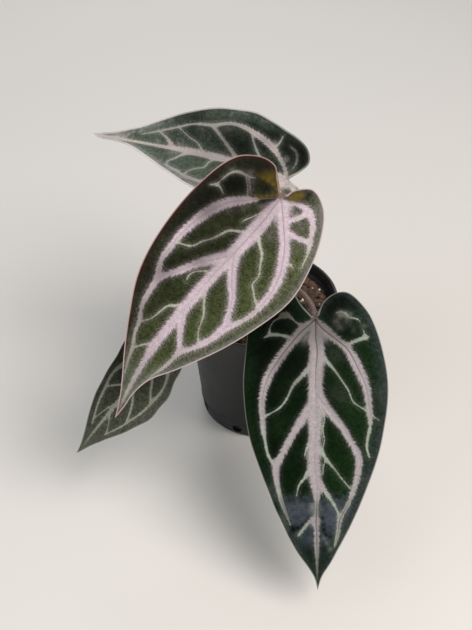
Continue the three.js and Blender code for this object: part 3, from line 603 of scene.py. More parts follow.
# Where each blade lies, with its droop in degrees, its sideways bow in millimetres, the fold
# and cup that lift its sides, and base, the bearing of its stalk on the stem in degrees. Then
# points on the flat blade in millimetres: x to its right, y from the junction to the tip.
# left and right are its two margins. A vein is a row of x, y and half width, and where that
# is below zero only its groove shows. Grooved are the midrib and the main veins. Glows,
# shades, lights, dims and dusts are soft patches of x, y, radius and strength. Glows are a
# painted glow of light through the thin lobes by the sinus. Shades are painted shade, with
# a few dark marks among them, such as the cracks near the tip of leaf C. Lights are painted
# light. Dims dull the silver of the veins, partly to their own duller tone and partly as
# painted shade. Dusts spread silver between the veins, and the faint broad ones on the right
# half of leaf C are a painted sheen. bare says where down the blade a painted sheen near the
# tip starts, is whole, fades and is gone, and how far in from the margin; there the grain
# and the silver are weaker. A pair of colours is for the dim and the lit side, a painted
# light and shade across the blade.
LEAVES = {
    "leaf_a": {
        "junction": (9, -40, 192), "tip": (-81, -118, 101), "facing": (0.04, -0.77, 0.63),
        "droop": 26, "bow": -7, "fold": 0.08, "cup": -0.04, "base": -110, "wave": 1.3,
        "left": """-2 -1, -8 -7, -13 -12, -22 -11, -32 -3, -37 11, -38 30, -36 54, -30 79, -20 101,
        -11 120, -4.5 134, -1.5 144, 0 151""",
        "right": """2 -2, 4 -8, 12 -14, 23 -8, 31 6, 38 25, 41 44, 38 63, 30 86, 18 107, 8 121,
        3.5 132, 2 142, 0 151""",
        "grooved": """0 0 1.3, 0.4 8 3, 1.2 18 3.7, 1.3 35 3.6, 1.1 55 3, 1.1 70 3, 0.9 85 2.6,
        0.6 95 2.4, -0.2 106 2.2, -0.2 116 1.5, -0.3 130 1, -0.2 140 0.7, 0 151 0.4;
        0 0 -1.2, -3 3 -1.2, -7 7 -0.5, -8.6 8.7 0.5, -10 10.2 1.3, -13.6 13.8 2, -19 20 2.6,
        -22.6 27 2.8, -24.7 35 2.5, -26 44 2.1, -26.4 52 1.8, -25.6 60 1.4, -25 66 1.2,
        -22.5 71.5 1.5, -20 76 1.6, -19 84 1.3, -17.6 92 1, -14 99.5 1, -12.4 106 0.8, -9.4 113 0.9,
        -8 120 0.6, -6.2 127 0.3;
        0 0 1.2, 4.5 5 2.8, 9 10 3, 13.5 15 2.8, 18 20 2.6, 21.6 25 2.7, 24.6 30 2.5, 27.2 35 2.5,
        29 40 2.3, 30.5 46 1.9, 31 53 1.7, 30.9 60 1.3, 29.3 66 1.1, 26.5 72 1.7, 24.2 76 2.1,
        22.9 83 1.6, 19.9 90 1.6, 17 95 1.3, 13 100 1.3, 12 106 0.9, 10.4 112 0.8, 8 118 0.6,
        5.5 125 0.3;
        0 44 3, -4 49.5 2.9, -8 55 2.3, -11 60 1.9, -14 66 1.7, -17 70.5 1.6, -20 75 1.8;
        1.5 40 3, 4 44.5 2.9, 8 50 2.2, 12.5 55.5 2, 16.6 60 1.7, 19.6 65 1.6, 22 70 1.6,
        24 74.5 1.8;
        1 80 2.2, 3.4 85 1.8, 6.2 90 1.5, 9.5 95 1.4, 13 100 1.5""",
        "plain": """0 27 1.4, -3.4 28.8 0.9, -6.6 30.6 0.8, -9.3 33 0.7, -10.8 37 0.6,
        -12.6 41.5 0.6, -15.4 45.8 0.6, -16.8 49.6 0.6, -19 52 0.6, -23 53.6 0.6, -26 54.5 0.8;
        -2 13 0.8, -3.6 15.5 0.4, -5 19.3 0.45, -6.4 22.1 0.45, -6.9 24.5 0.2;
        -3 57 0.7, -6.4 60 0.4, -8.4 63.5 0.45, -7.8 67.5 0.3;
        0 78.5 1.4, -3.6 81.7 0.9, -6.6 84.2 0.7, -7.8 88 0.6, -8.8 92.2 0.5, -10.1 95.5 0.35,
        -13 99 0.4;
        -1 105 1, -4.7 108 0.7, -7.2 110.9 0.55, -9 113 0.7;
        -17.6 0.6 0.3, -20.4 2.2 0.9, -24.6 3 1, -27.6 4.6 0.9, -29.4 7.4 0.7, -30.2 11 0.5,
        -30.5 14 0.2, -30.8 16.2 0.8, -33 18.6 0.6;
        -20.8 4 0.45, -18 6.7 0.3, -15.2 10 0.25, -13.6 12.6 0.2;
        -19.4 3 0.35, -16.4 6 0.25, -14 8.6 0.15;
        -30.4 16.2 0.6, -28 16.6 0.5, -25 18.2 0.2;
        2 22 1.5, 5.7 26.2 1.2, 9.3 29.3 0.9, 12.9 32.2 0.75, 16.2 37.6 0.55, 19.3 42 0.45,
        19.8 46 0.4, 20.2 48.4 0.6, 23.6 51.4 0.45, 26 53.4 0.6, 30 56 1;
        1 64 1.3, 4.7 67.7 0.9, 7.8 72.2 0.7, 11.2 76.5 0.6, 12.9 81 0.4, 14.6 85.3 0.35, 18 90 0.6;
        4 1.5 2, 8 -1.4 1.4, 12.2 -2.8 2, 16.4 -2.4 2.5, 20.4 -0.2 2.1, 23.4 3 1.6, 25.6 7 1.4,
        27.6 10.8 1.5, 29.6 14.6 1.1, 31.4 18.4 0.7, 33.6 26 0.2;
        10.5 9 2, 13 6 1.6, 15 2.6 1.5, 16.4 -1 2;
        14 14.5 2.2, 18.6 13.7 1.8, 22.5 12.9 1.6, 27 11.4 1.7;
        24.6 28.6 1.2, 27.4 27.4 0.9, 29.4 27.6 0.4""",
        "glows": """-1.5 -0.6 1.6 0.9, -4.5 -1.8 1.4 0.9, -7.6 -2.8 1.5 0.9, -10.6 -5.4 3 0.7,
        -14.6 -5 3.6 0.5, -11 -2.8 2 0.8, -14.4 -2 1.8 0.65, -17.6 -1.6 1.6 0.5, -10 -9 3 0.45,
        -6 -4.6 2 0.7, -2.6 0.8 1.1 0.95, -4.4 2.4 1.2 0.95, -6.2 4.6 1.3 0.95, -8 6.8 1.5 0.9,
        -10.4 8 1.7 0.6, -13.4 9.6 1.8 0.35, 1.6 -0.8 1.3 0.9, 4.6 -3 1.8 0.95, 6 -5.4 2.2 0.95,
        8 -7.4 2.2 1, 8.4 -3.6 1.8 0.7, 5.5 -1 1.4 0.5""",
        "shades": """-22.5 9.5 7.5 0.9, -33 26 11 0.65, -22 -8 9 0.5, -2.2 2.6 1.4 1, -4 5.2 1.9 1,
        -6 8 1.9 0.9, -9 1.2 2.4 0.8, -12.4 3 4 0.6, -16 -8 3 0.4, -12 55 6 0.45, -7 42 8 0.5,
        -20 62 6 0.3, -12 76 7 0.2, 22 38 6 0.2, 15 60 12 0.12, -5 16 3 0.4, -20 24 7 0.3,
        -6 30 5 0.3, 10.6 1.8 1.9 0.6, 9 3.4 1.2 0.4, 11.8 -8 1.9 0.6, 11.4 -11 1.8 0.7,
        10.8 -4.6 1 0.4, -23 9 5 0.5, -30 24 7 0.4""",
        "lights": "30 60 9 0.3, -24 58 8 0.2, 0 122 12 0.4, 36 45 7 0.4",
        "dims": """-6 8 7 0.75, -15 17 7 0.6, -23 32 8 0.75, -17 96 10 0.7, -9 114 10 0.5,
        13 104 8 0.25, -21 72 8 0.75, -17 2 9 0.9, -14 43 8 0.8, -6 56 6 0.5, 0 20 8 0.3""",
        "dusts_and_sheen": """4.5 8 4.2 0.95, 7.5 4 3.6 0.9, 5 3 3 0.8, 12.6 3.4 2 0.5, -2 6 3 0.45,
        -4 11 2.6 0.3, 22 -7 4 0.2, 28 0 4 0.12, 32 10 4.5 0.15, 9 21 4 0.12, 18 7 3 0.18,
        26 18 3 0.1, 6 12.4 1.8 0.6, 8.4 14.4 1.4 0.4, -20.4 0.4 2.4 0.4, -17.6 3.4 2 0.25,
        -15 7 2 0.2, -31 16.6 1.8 0.3, -13 17 3 0.2, -17 24 2.4 0.15, -28.6 5.6 2.2 0.35,
        -24 3 2.2 0.35, -30.4 11 1.6 0.3""",
        "bare": (110, 128, 142, 149, 0), "cell": ("#171a0e", "#3e4529"),
        "edge_zone": ("#22221b", "#525247"), "shade": "#060703", "glow": ("#544b12", "#634c12"),
        "vein": "#cfbfc8", "thin_vein": "#b0b1a0", "vein_shade": "#6f6567", "groove": "#6f5a64",
        "groove_depth": 0.55, "groove_end": 105, "halo": 0.4, "tip_cracks": 0.0,
        "tip_zone": "#454f3b", "tip_blotch": "#39432e", "tip_veins": 0.8, "tip_end": "#57402f",
        "rim": "#2c1a13", "edge_line": ("#ad8f8d", "#b5a5a0"), "edge_width": 0.75,
        "strip": "#6d6c69", "strip_width": 3.0, "lit_side": 0.75,
    },
    "leaf_b": {
        "junction": (16, 15, 169), "tip": (-105, 55, 178), "facing": (-0.02, -0.26, 0.97),
        "droop": 24, "bow": 2, "fold": 0.24, "cup": -0.03, "base": 60, "wave": 0.4,
        "left": """-2 -1, -7 -5, -15 -8, -23 -4, -28 5, -33 20, -36 36, -33 54, -26 71, -16 87,
        -8 100, -3 112, -1 121, 0 129""",
        "right": """2 -2, 5 -8, 13 -11, 22 -8, 29 3, 34 19, 36 35, 33 52, 25 68, 15 86, 8 99, 5 110,
        4.4 121, 0 129""",
        "grooved": """0 0 1.5, 0.2 15 2.2, 0.6 35 2.6, 1 50 2.8, 1.2 62 2.7, 1.4 70 2.3, 1.8 77 1.6,
        2 86 1.25, 2.1 96 1.2, 2.2 104 1.3, 2.3 112 1.4, 1.9 121 1.2, 0.4 128 0.6;
        0 1 1.2, -4.4 3.4 0.9, -8.2 6.4 1, -12.6 10.9 1.3, -16.3 15.6 1.8, -19.4 21.6 1.9,
        -21.7 28 1.6, -23.6 33.5 1.3, -24.8 39 1.1, -24.8 44 1, -23.3 48.5 1, -21 53 1.1,
        -19.8 58 0.9, -19.2 63 0.7, -17.8 68 0.6, -14.8 73.5 0.7, -12.5 78 0.7, -10.3 82.5 0.7,
        -8.2 87 0.5, -5 95 0.2;
        0 1 1.2, 9 9 1.8, 17 19 1.8, 23 31 1.6, 26.4 44 1.4, 25.6 55 1.2, 22.9 61 1, 20.4 67 0.7,
        18 72 0.2;
        0 31 1.7, -3.4 34.8 1.2, -7.2 39 1, -10.9 43.6 0.9, -15.4 49 0.8, -20 54.5 1""",
        "plain": """0 14 1.2, -6 19.5 0.9, -10.7 23.6 0.8, -15.3 27.1 0.6, -21 30.6 0.6;
        0 53.5 1.1, -2.6 55.8 0.7, -6.2 59.8 0.5, -8.5 65.3 0.4, -11.6 70.7 0.3, -14 74.5 0.4;
        0.6 73 1.6, -2 75.8 1.4, -4.6 78.4 1, -6.6 81.6 0.7, -8.6 85.2 0.6;
        -7 0 0.2, -11.6 -0.8 0.6, -15.6 0 0.9, -19 2 0.9, -20.6 5.4 0.7;
        -15.6 15 1.2, -21.6 13 0.7, -26.2 12.6 0.3;
        1.5 60 1.6, 4.6 63.6 1.3, 7.5 66.2 1, 11.1 68 0.8, 15 70.6 0.6, 19 70 0.5;
        1.4 44 1.2, 3.8 46.2 0.9, 7.5 48 0.7, 12.9 48.9 0.5, 15.6 52.5 0.5, 19.3 55.7 0.5,
        24 57.4 0.7;
        0.4 24 1.2, 5 29 0.8, 11 33 0.6, 18 36 0.6, 25 40 0.8;
        1 0 2.4, 4 -3.4 2.6, 9 -5.6 1.6, 13.6 -6.2 1.2, 16 -3 1.3, 15 1.6 1.4, 11 4.2 2.2, 6 3 3;
        17.4 -1 0.8, 21.5 4 0.7, 23 12 0.5, 22 21 0.7""",
        "glows": "-2 -1.5 2.5 0.4",
        "shades": """-17 3 8 0.6, -25 8 6 0.35, -11 33 7 0.75, -14 44 7 0.5, 11.4 -2.6 2.2 0.5,
        4 -7.8 1.8 0.5, -8 54 14 0.3, -22 -2 8 0.95, -13 -6 6 0.85, -10 36 7 0.4""",
        "lights": """12 60 25 0.35, -6 84 8 0.4, 6 93 8 0.7, -32 42 9 0.6, -27 56 7 0.4,
        -31 27 7 0.3, -12 90 8 0.3""",
        "dims": """0 45 40 0.55, -6 6 5 0.5, -24 44 12 0.3, -17 1 6 0.75, -19 21 6 0.7,
        -13 80 8 0.5, -1 80 6 0.3, 26 54 9 0.6""",
        "dusts_and_sheen": """4 -1 5 0.95, 7 2 5 0.95, -11.6 6 2 0.6, -19 15 2.6 0.45, 29 48 4 0.35,
        26 58 3.5 0.3, 22 68 3 0.25, -1 84 2.4 0.3, -2 70 3 0.3, 6 70 3.4 0.3, -16 60 3 0.15,
        -20 46 4 0.15""",
        "bare": (98, 114, 200, 210, 0), "cell": ("#0c130d", "#424c40"),
        "edge_zone": ("#2b332b", "#5d665c"), "shade": "#0a0c09", "glow": ("#6f6a4a", "#6f6a4a"),
        "vein": "#d2c5c2", "thin_vein": "#9fa498", "vein_shade": "#7d7875", "groove": "#77736c",
        "groove_depth": 0.4, "groove_end": 100, "halo": 0.4, "tip_cracks": 0.0,
        "tip_zone": "#a9a499", "tip_blotch": "#8f8b7e", "tip_veins": 0.9, "tip_end": "#cbb9bb",
        "rim": "#2b302a", "edge_line": ("#8f9088", "#cfc9c4"), "edge_width": 1.2,
        "strip": "#8b8b8d", "strip_width": 4.4, "lit_side": 0.6,
    },
    "leaf_c": {
        "junction": (28, -78, 138), "tip": (29.5, -172, 21), "facing": (-0.08, -0.74, 0.67),
        "droop": 26, "bow": 0.5, "fold": 0.06, "cup": -0.04, "base": -50, "wave": 1.3,
        "left": """-2 -1, -7.5 -7, -13 -15.5, -20 -17, -29 -11, -35.5 1, -38.5 20, -39.5 40,
        -37.5 60, -31 82, -22 106, -13 125, -5 137, -1.5 144, 0 151""",
        "right": """1.5 -1.5, 4.5 -9, 11 -14, 18.5 -14, 26 -7, 31 1, 36 17, 38.5 33, 37.5 51,
        33.5 71, 26 93, 17 114, 8 132, 2.5 142, 0 151""",
        "grooved": """0 0 1, 0.1 5 2.6, 0.1 11 3.8, 0.8 18 3.7, 0 27 3.7, -0.4 36 3.5, -0.3 44 3.8,
        -0.9 55 3.4, -1.3 65 3, -1.9 76 3.2, -1.5 85 3.1, -0.6 92 2.6, -0.5 97 1.6, -0.5 102 0.8,
        -0.8 107 1, -1 111 2.1, -0.8 114 1.5, -0.6 115.6 1.1, -0.6 117.2 1.7, -0.6 118.8 1,
        -0.6 120.6 1.6, -0.6 122.4 1, -0.6 124.4 1.4, -0.5 126.4 0.9, -0.5 128.6 1.2, -0.4 131 0.7,
        -0.3 138 0.5, 0 151 0.3;
        0 0 1, -3.4 3.4 2.1, -7.6 7 2.4, -12 12 2.2, -16.5 17.5 2.1, -21.3 24 2.3, -25.3 30.5 2.2,
        -28.2 38 1.9, -29.6 46 1.5, -29.4 54 1.4, -28.9 61 1, -28.1 66 0.7, -27.3 71 0.55,
        -25.8 75.6 0.7, -23.4 78.6 1.2;
        0 0 1, 3 4.6 2.6, 7.5 8.6 2.5, 12 12.2 1.9, 16.5 16.2 2, 19.6 21 2.4, 22.5 27 2.4,
        25.2 33 2.4, 27.1 39 1.9, 27.9 46 1.7, 28.5 53 1.3, 28.5 59 0.8, 27.1 65 0.6, 26.6 70 0.6,
        27.8 74.6 0.3;
        -1.5 47 3.2, -6 52.4 2.6, -10.4 58.6 1.9, -14.3 65 1.6, -17 70 1.6, -20 75.5 1.7,
        -22.3 80 1.9, -22.3 86 1.6, -21.4 92 1.1, -19.4 100 0.9, -16.8 107 0.6, -15 112 0.2;
        0 41 3, 3 45.6 2.7, 6.4 50 2.1, 10.5 55.2 1.8, 14.3 60 1.6, 17 65 1.6, 20.2 70.4 1.7,
        22.2 75.4 1.8, 22 81 1.5, 21 87 1.5, 18.9 94 1.3, 16.4 100.4 0.9, 13.6 105.6 0.9,
        11.7 110 1.1, 11 116 0.9, 9.8 122 0.6, 9 125 0.2""",
        "plain": """-2 25 1.9, -4.9 28.4 1.4, -8 31.7 1.1, -12 35.9 0.9, -13.9 39.3 0.7,
        -15.7 43 0.65, -18.4 47 0.6, -21.3 49.5 0.45, -24.7 51.4 0.4, -28.6 53.6 0.7;
        -2.4 66 1.6, -5.4 70 0.7, -6.8 74.2 0.4;
        -2.6 80 1.8, -5.2 83.4 1.1, -6.8 86.4 0.85, -8.9 88.8 0.7, -10.4 91.4 0.5, -11.4 96 0.25;
        -2 108.6 1.4, -5 111 1.1, -7.6 114.4 0.9, -10.4 118.2 0.8;
        -10 11.6 1.3, -15 10 0.9, -20 8.9 0.9, -24.4 8.9 0.9, -27.6 10.2 0.5;
        -7 4 1.4, -10.4 2 0.5, -13 -0.4 0.8, -15 -1.8 1.6, -17.6 -1.8 1.7, -20 -0.2 0.7,
        -22.8 1.6 0.35, -24.6 4.6 0.3, -25.2 8.2 0.7;
        1.5 18.5 2, 4.6 22 1.4, 8 25.9 0.9, 10.9 29.5 0.7, 13.7 33.8 0.6, 17.2 39.2 0.5,
        19.4 44.9 0.4, 22.3 47.4 0.35, 27 50.4 0.5;
        3.4 51 1, 4.2 55 0.35, 3.2 60 0.4, 3.9 66 0.35, 3 71 0.4, 4.2 76 0.35, 3.3 80 0.35,
        3 84 0.3;
        0 69 1.6, 3 73.6 1, 6.2 78 0.85, 9.7 82.2 0.5, 12.4 86 0.4, 17 91.5 0.45;
        0 88.6 2.2, 3.2 92.6 1.5, 6 96.6 1.1, 8.6 100.7 0.9, 10.7 104.9 0.8, 12 108.6 1.1;
        11.6 -3.2 0.4, 13.6 -3.6 0.8, 16 -3 0.9, 17.6 -1.8 0.5;
        18 -0.6 0.3, 20.6 -0.1 0.6, 23 0.6 0.5, 24 1.8 0.2;
        25.8 6 0.2, 26.4 8.4 0.4, 27 10.4 1.2;
        17 15 1.4, 19.6 13.4 1.1, 22.6 12.2 0.9, 25.4 11.2 1, 27.6 10.8 0.9;
        28.6 51 0.7, 31 53.4 0.3, 33.4 55.4 0.2""",
        "glows": "0 -0.8 1.2 0.7",
        "shades": """-17 -3 12 0.6, 8 -5 6 0.85, 19 6 6 0.6, -30 14 12 0.5, -12 24 8 0.4,
        -1 9 10 0.25, -13.4 114.8 2.2 1, -10.8 114 1.6 1, -8.4 112.4 1.3 0.9, -6.2 110.4 1.2 0.8,
        -5.4 108 1 0.7, -3.8 106.8 1 0.5, 2.4 108.6 1.2 0.8, 2.6 112 1.3 0.8, 3.2 115 1.4 0.9,
        4.6 117.8 1.5 0.8, 6.8 118.8 1.2 0.7, -5 123 3.5 0.3, -5 128 2.5 0.5, 3 126 2.4 0.4,
        14 2 3 0.5, 14 -11 6 0.8, 22 -8 5 0.5, -16 26 9 0.3, 0 137 8 0.35""",
        "lights": """20 55 10 0.2, -20 60 7 0.5, 12 86 9 0.4, 30 4 6 0.5, -24 94 7 0.6,
        -18 110 8 0.7, 24 88 8 0.5, 14 112 8 0.4, -13 124 6 0.5""",
        "dims": """0 2 12 0.6, -0.5 106 4 0.4, 0 140 11 0.6, -12 8 9 0.45, 12 8 9 0.6,
        -29 50 14 0.1, 28 52 14 0.1, -17 104 8 0.5, -18 -1 9 0.95, 13 -0.5 3.5 0.5, -13 38 7 0.6,
        12 31 8 0.55, 10 82 6 0.5""",
        "dusts_and_sheen": """13.6 -2 2.4 0.8, 17.6 -1.6 2.2 0.7, 11.6 2 2 0.4, 13.4 5 2 0.3, 17.6 2.6 2 0.25,
        20.6 6.4 2 0.15, 26 5 2 0.2, 5.4 9.4 3.4 0.8, -5.6 10 3.4 0.7, 10 21 5 0.06, 13 41 6 0.05,
        -1.8 102 2.4 0.6, -1.6 106 2.4 0.5, -1.2 110.6 2.6 0.85, 3.4 119.6 1.3 0.3, 5 122.4 1.4 0.3,
        6.8 126 1.4 0.3, 11.4 109 1.6 0.5, 11 114 1.4 0.5, 8.6 101 1.4 0.4, -7.6 114.4 1.3 0.4,
        -10 118 1.2 0.4, -18 110 4 0.1, 12 119 4 0.12, 24 88 5 0.08, 33 42 6 0.05""",
        "bare": (92, 105, 121, 134, 2), "cell": ("#010a01", "#10220d"),
        "edge_zone": ("#0e230c", "#2c3334"), "shade": "#020202", "glow": ("#8b8266", "#8b8266"),
        "vein": "#b1a8ab", "thin_vein": "#a3ae9d", "vein_shade": "#605e57", "groove": "#43343a",
        "groove_depth": 0.95, "groove_end": 55, "halo": 0.14, "tip_cracks": 0.3,
        "tip_zone": "#40454d", "tip_blotch": "#2a3436", "tip_veins": 0.9, "tip_end": "#24241a",
        "rim": "#0d140b", "edge_line": ("#5c6258", "#a4a6a0"), "edge_width": 0.65,
        "strip": "#393d3b", "strip_width": 3.4, "lit_side": 0.6,
    },
    "leaf_d": {
        "junction": (-61, -62, 106), "tip": (-108, -102, 56), "facing": (0.33, -0.87, 0.38),
        "droop": 24, "bow": 0, "fold": 0.12, "cup": -0.02, "base": 175, "wave": 1.3,
        "left": """-1.5 -1, -4 -6, -10 -9, -16 -3, -18.5 9, -17.5 25, -16 39, -12 52, -7 63,
        -2.5 73, 0 80.5""",
        "right": """1.5 -1, 4 -6, 10 -9, 17 -4, 20.5 7, 23 25, 22 37, 16.5 50, 9.5 61, 4 70,
        0 80.5""",
        "grooved": """0 0 0.7, 0 12 1.1, 0.2 25 1.1, 0 38 1.1, -0.4 50 0.9, -0.6 62 0.6, 0 80.5 0.3;
        0 1 0.7, -7 10 0.8, -11.6 20 0.7, -13.4 30 0.6, -12 38 0.6, -9.6 48 0.4, -5 59 0.3;
        0 1 0.7, 8 6.4 0.8, 15 11.4 0.7, 17.5 19 0.6, 17.4 28 0.7, 16.6 34 0.6, 13.6 44 0.5,
        10.6 52 0.4, 6 61 0.3""",
        "plain": """0 28.5 1, -3.4 30.8 0.7, -6.6 32.6 0.7, -11.4 36.2 0.6, -12.2 38 0.5;
        0 12 0.9, -5 17 0.6, -10 21.6 0.5, -13.4 27 0.5;
        0.2 26 1.1, 4.4 32 0.7, 7.5 37.2 0.7, 9.8 43 0.7, 11.4 48.4 0.5;
        0.2 10 1, 5 14.6 0.7, 9.4 19.8 0.7, 12.6 26 0.7, 16.6 31 0.8;
        -0.2 43 0.9, -2.6 46 0.5, -4 50 0.4, -6 56.5 0.3;
        0 49 0.8, 2.6 53 0.4, 5 58 0.3, 6 61 0.3;
        2 1 0.7, 8.6 -2.6 0.5, 13.6 2 0.5, 15.4 11 0.6;
        -2 1 0.7, -8 -3 0.5, -12.6 3 0.5, -12.4 18 0.5""",
        "glows": "0 -1 1.2 0.5",
        "shades": "-12 20 8 0.4, 10 22 7 0.3",
        "lights": "",
        "dims": "0 66 12 0.4",
        "dusts_and_sheen": "",
        "bare": (58, 72, 200, 210, 0), "cell": ("#30332a", "#4b4c40"),
        "edge_zone": ("#363a32", "#4c5047"), "shade": "#191a12", "glow": ("#5c5a38", "#5c5a38"),
        "vein": "#aaaca1", "thin_vein": "#999c90", "vein_shade": "#75776d", "groove": "#5c5f54",
        "groove_depth": 0.3, "groove_end": 60, "halo": 0.15, "tip_cracks": 0.0,
        "tip_zone": "#464e40", "tip_blotch": "#3b4136", "tip_veins": 0.7, "tip_end": "#5a5f50",
        "rim": "#272a22", "edge_line": ("#5f6459", "#858a7e"), "edge_width": 0.65,
        "strip": "#54504c", "strip_width": 2.5, "lit_side": 0.3,
    },
}
ROWS_PER_MM = 1.85
COLUMNS_PER_MM = 1.5
BLADE_THICKNESS = 0.55
THIN_EDGE = 3
RIB_END = 4
FAN_START = 0.66
MARGIN_WAVES = 4.5
PUFF = 0.95
PUFF_REACH = 4.2
GROOVE_DEPTH = 0.35
GROOVE_WIDTH = 0.6
VEIN_BLEND = 0.4
STROKE_SLANT = 0.7
THIN_TRIM = 0.2
FAR = 99.0
NEXT_VEIN = 37
UNDERSIDE_SHIFT = 60.0


def smooth_curve(points, pieces=24):
    """Points of a curve that passes through all the given points."""
    spots = np.array(points, float)
    padded = np.vstack([2 * spots[0] - spots[1], spots, 2 * spots[-1] - spots[-2]])
    share = np.linspace(0, 1, pieces, endpoint=False)[:, None]
    runs = []
    for a, b, c, d in zip(padded, padded[1:], padded[2:], padded[3:]):
        runs.append(0.5 * (2 * b + (c - a) * share + (2 * a - 5 * b + 4 * c - d) * share ** 2
                           + (3 * b - a - 3 * c + d) * share ** 3))
    return np.vstack(runs + [spots[-1:]])


def evenly_spaced(points, count):
    """The curve's points again, at equal steps along its length, and the length."""
    curve = smooth_curve(points)
    run = np.concatenate([[0], np.cumsum(np.linalg.norm(np.diff(curve, axis=0), axis=1))])
    stops = np.linspace(0, run[-1], count + 1)
    return np.stack([np.interp(stops, run, curve[:, i]) for i in (0, 1)], axis=1), run[-1]


def distance_to_line(spots, line):
    """Distance of each spot from a bent line, less than zero on its left, and there the
    line's values past x and y."""
    start, step = line[:-1, :2], np.diff(line[:, :2], axis=0)
    length2 = np.maximum((step ** 2).sum(1), 1e-9)
    best = np.full(len(spots), 1e9)
    values = np.zeros((len(spots), line.shape[1] - 2))
    for i in range(len(start)):
        away = spots - start[i]
        share = np.clip(away @ step[i] / length2[i], 0, 1)[:, None]
        side = np.where(away @ (-step[i, 1], step[i, 0]) < 0, -1, 1)
        away = np.linalg.norm(away - share * step[i], axis=1)
        nearer = away < np.abs(best)
        best = np.where(nearer, away * side, best)
        here = line[i, 2:] + (line[i + 1, 2:] - line[i, 2:]) * share
        values = np.where(nearer[:, None], here, values)
    return best, values


def points_in(text):
    """The rows of numbers that a text holds, with commas between them."""
    return [tuple(map(float, row.split())) for row in text.split(",") if row.strip()]


def set_out(leaf):
    """The leaf with its texts read, and with the blade's own directions, its bend and its
    length, as for the solid leaf."""
    points = {part: points_in(leaf[part])
              for part in ("left", "right", "glows", "shades", "lights", "dims", "dusts_and_sheen")}
    veins = {part: [points_in(vein) for vein in leaf[part].split(";")]
             for part in ("grooved", "plain")}
    junction = np.array(leaf["junction"], float)
    chord = np.array(leaf["tip"], float) - junction
    along = chord / np.linalg.norm(chord)
    facing = np.array(leaf["facing"], float)
    normal = facing - (facing @ along) * along
    normal /= np.linalg.norm(normal)
    bend = math.radians(leaf["droop"])
    heading = along * math.cos(bend / 2) + normal * math.sin(bend / 2)
    up = normal * math.cos(bend / 2) - along * math.sin(bend / 2)
    bend_radius = np.linalg.norm(chord) / (2 * math.sin(bend / 2))
    return {**leaf, **points, **veins, "origin": junction, "heading": heading, "up": up,
            "side": np.cross(up, heading), "bend_radius": bend_radius,
            "length": bend_radius * bend, "half_width": max(x for x, _ in points["right"])}


def blade_points(leaf, x, y, lift):
    """Places of plane points on the bent, folded and waved blade, in millimetres."""
    turn = y / leaf["bend_radius"]
    share = np.clip(y / leaf["length"], 0, 1)
    across = x + leaf["bow"] * np.sin(np.pi * share ** 1.35)
    spread = np.abs(x) / leaf["half_width"]
    wave = np.sin(2 * np.pi * MARGIN_WAVES * y / leaf["length"] + np.where(x < 0, 1.3, 0))
    lift = (lift + leaf["fold"] * np.abs(x) + leaf["cup"] * np.abs(x) * spread
            + leaf["wave"] * spread ** 3 * wave)
    sine, cosine = np.sin(turn)[:, None], np.cos(turn)[:, None]
    normal = leaf["up"] * cosine + leaf["heading"] * sine
    bent = leaf["bend_radius"] * (sine * leaf["heading"] - (1 - cosine) * leaf["up"])
    return leaf["origin"] + bent + across[:, None] * leaf["side"] + lift[:, None] * normal


def vein_fields(leaf, spots):
    """Where each spot lies among the veins, in millimetres. vein_gap is how far it is outside
    their edges, and vein_side and groove_side are how far from the middle of the nearest one,
    with a sign, so that the thinnest veins stay sharp between the mesh's points. vein_run is
    how far along the vein it is, drawn back so that strokes across the vein slant to the tip."""
    pull = np.full(len(spots), 1e-30)
    width_pull = np.zeros(len(spots))
    side, groove, middle, nearest = (np.full(len(spots), FAR) for _ in range(4))
    run = np.zeros(len(spots))
    for number, path in enumerate(leaf["grooved"] + leaf["plain"]):
        line = smooth_curve(path, 6)
        lengths = np.linalg.norm(np.diff(line[:, :2], axis=0), axis=1)
        line = np.column_stack([line, np.concatenate([[0], np.cumsum(lengths)])])
        signed, values = distance_to_line(spots, line)
        away = np.abs(signed)
        half, along = values.T
        half = half - THIN_TRIM * (path in leaf["plain"])
        weight = np.exp(-(away - half) / VEIN_BLEND)
        pull += weight
        width_pull += weight * half
        closer = away - half < nearest
        side = np.where(closer, signed, side)
        run = np.where(closer, along - STROKE_SLANT * away + NEXT_VEIN * number, run)
        nearest = np.minimum(nearest, away - half)
        middle = np.minimum(middle, away)
        if path in leaf["grooved"]:
            groove = np.where(away < np.abs(groove), signed, groove)
    gap = -VEIN_BLEND * np.log(pull)
    return {"vein_gap": gap, "vein_side": side, "vein_reach": np.abs(side) - gap,
            "vein_half": width_pull / pull, "vein_run": run, "vein_middle": middle,
            "groove_side": groove, "groove_gap": np.abs(groove)}


def patches(spots, discs):
    """How much of each spot the soft-edged discs of x, y, radius and strength cover."""
    bare = np.ones(len(spots))
    for x, y, radius, strength in discs:
        bare *= 1 - strength * np.exp(-((spots - (x, y)) ** 2).sum(1) / radius ** 2)
    return 1 - bare


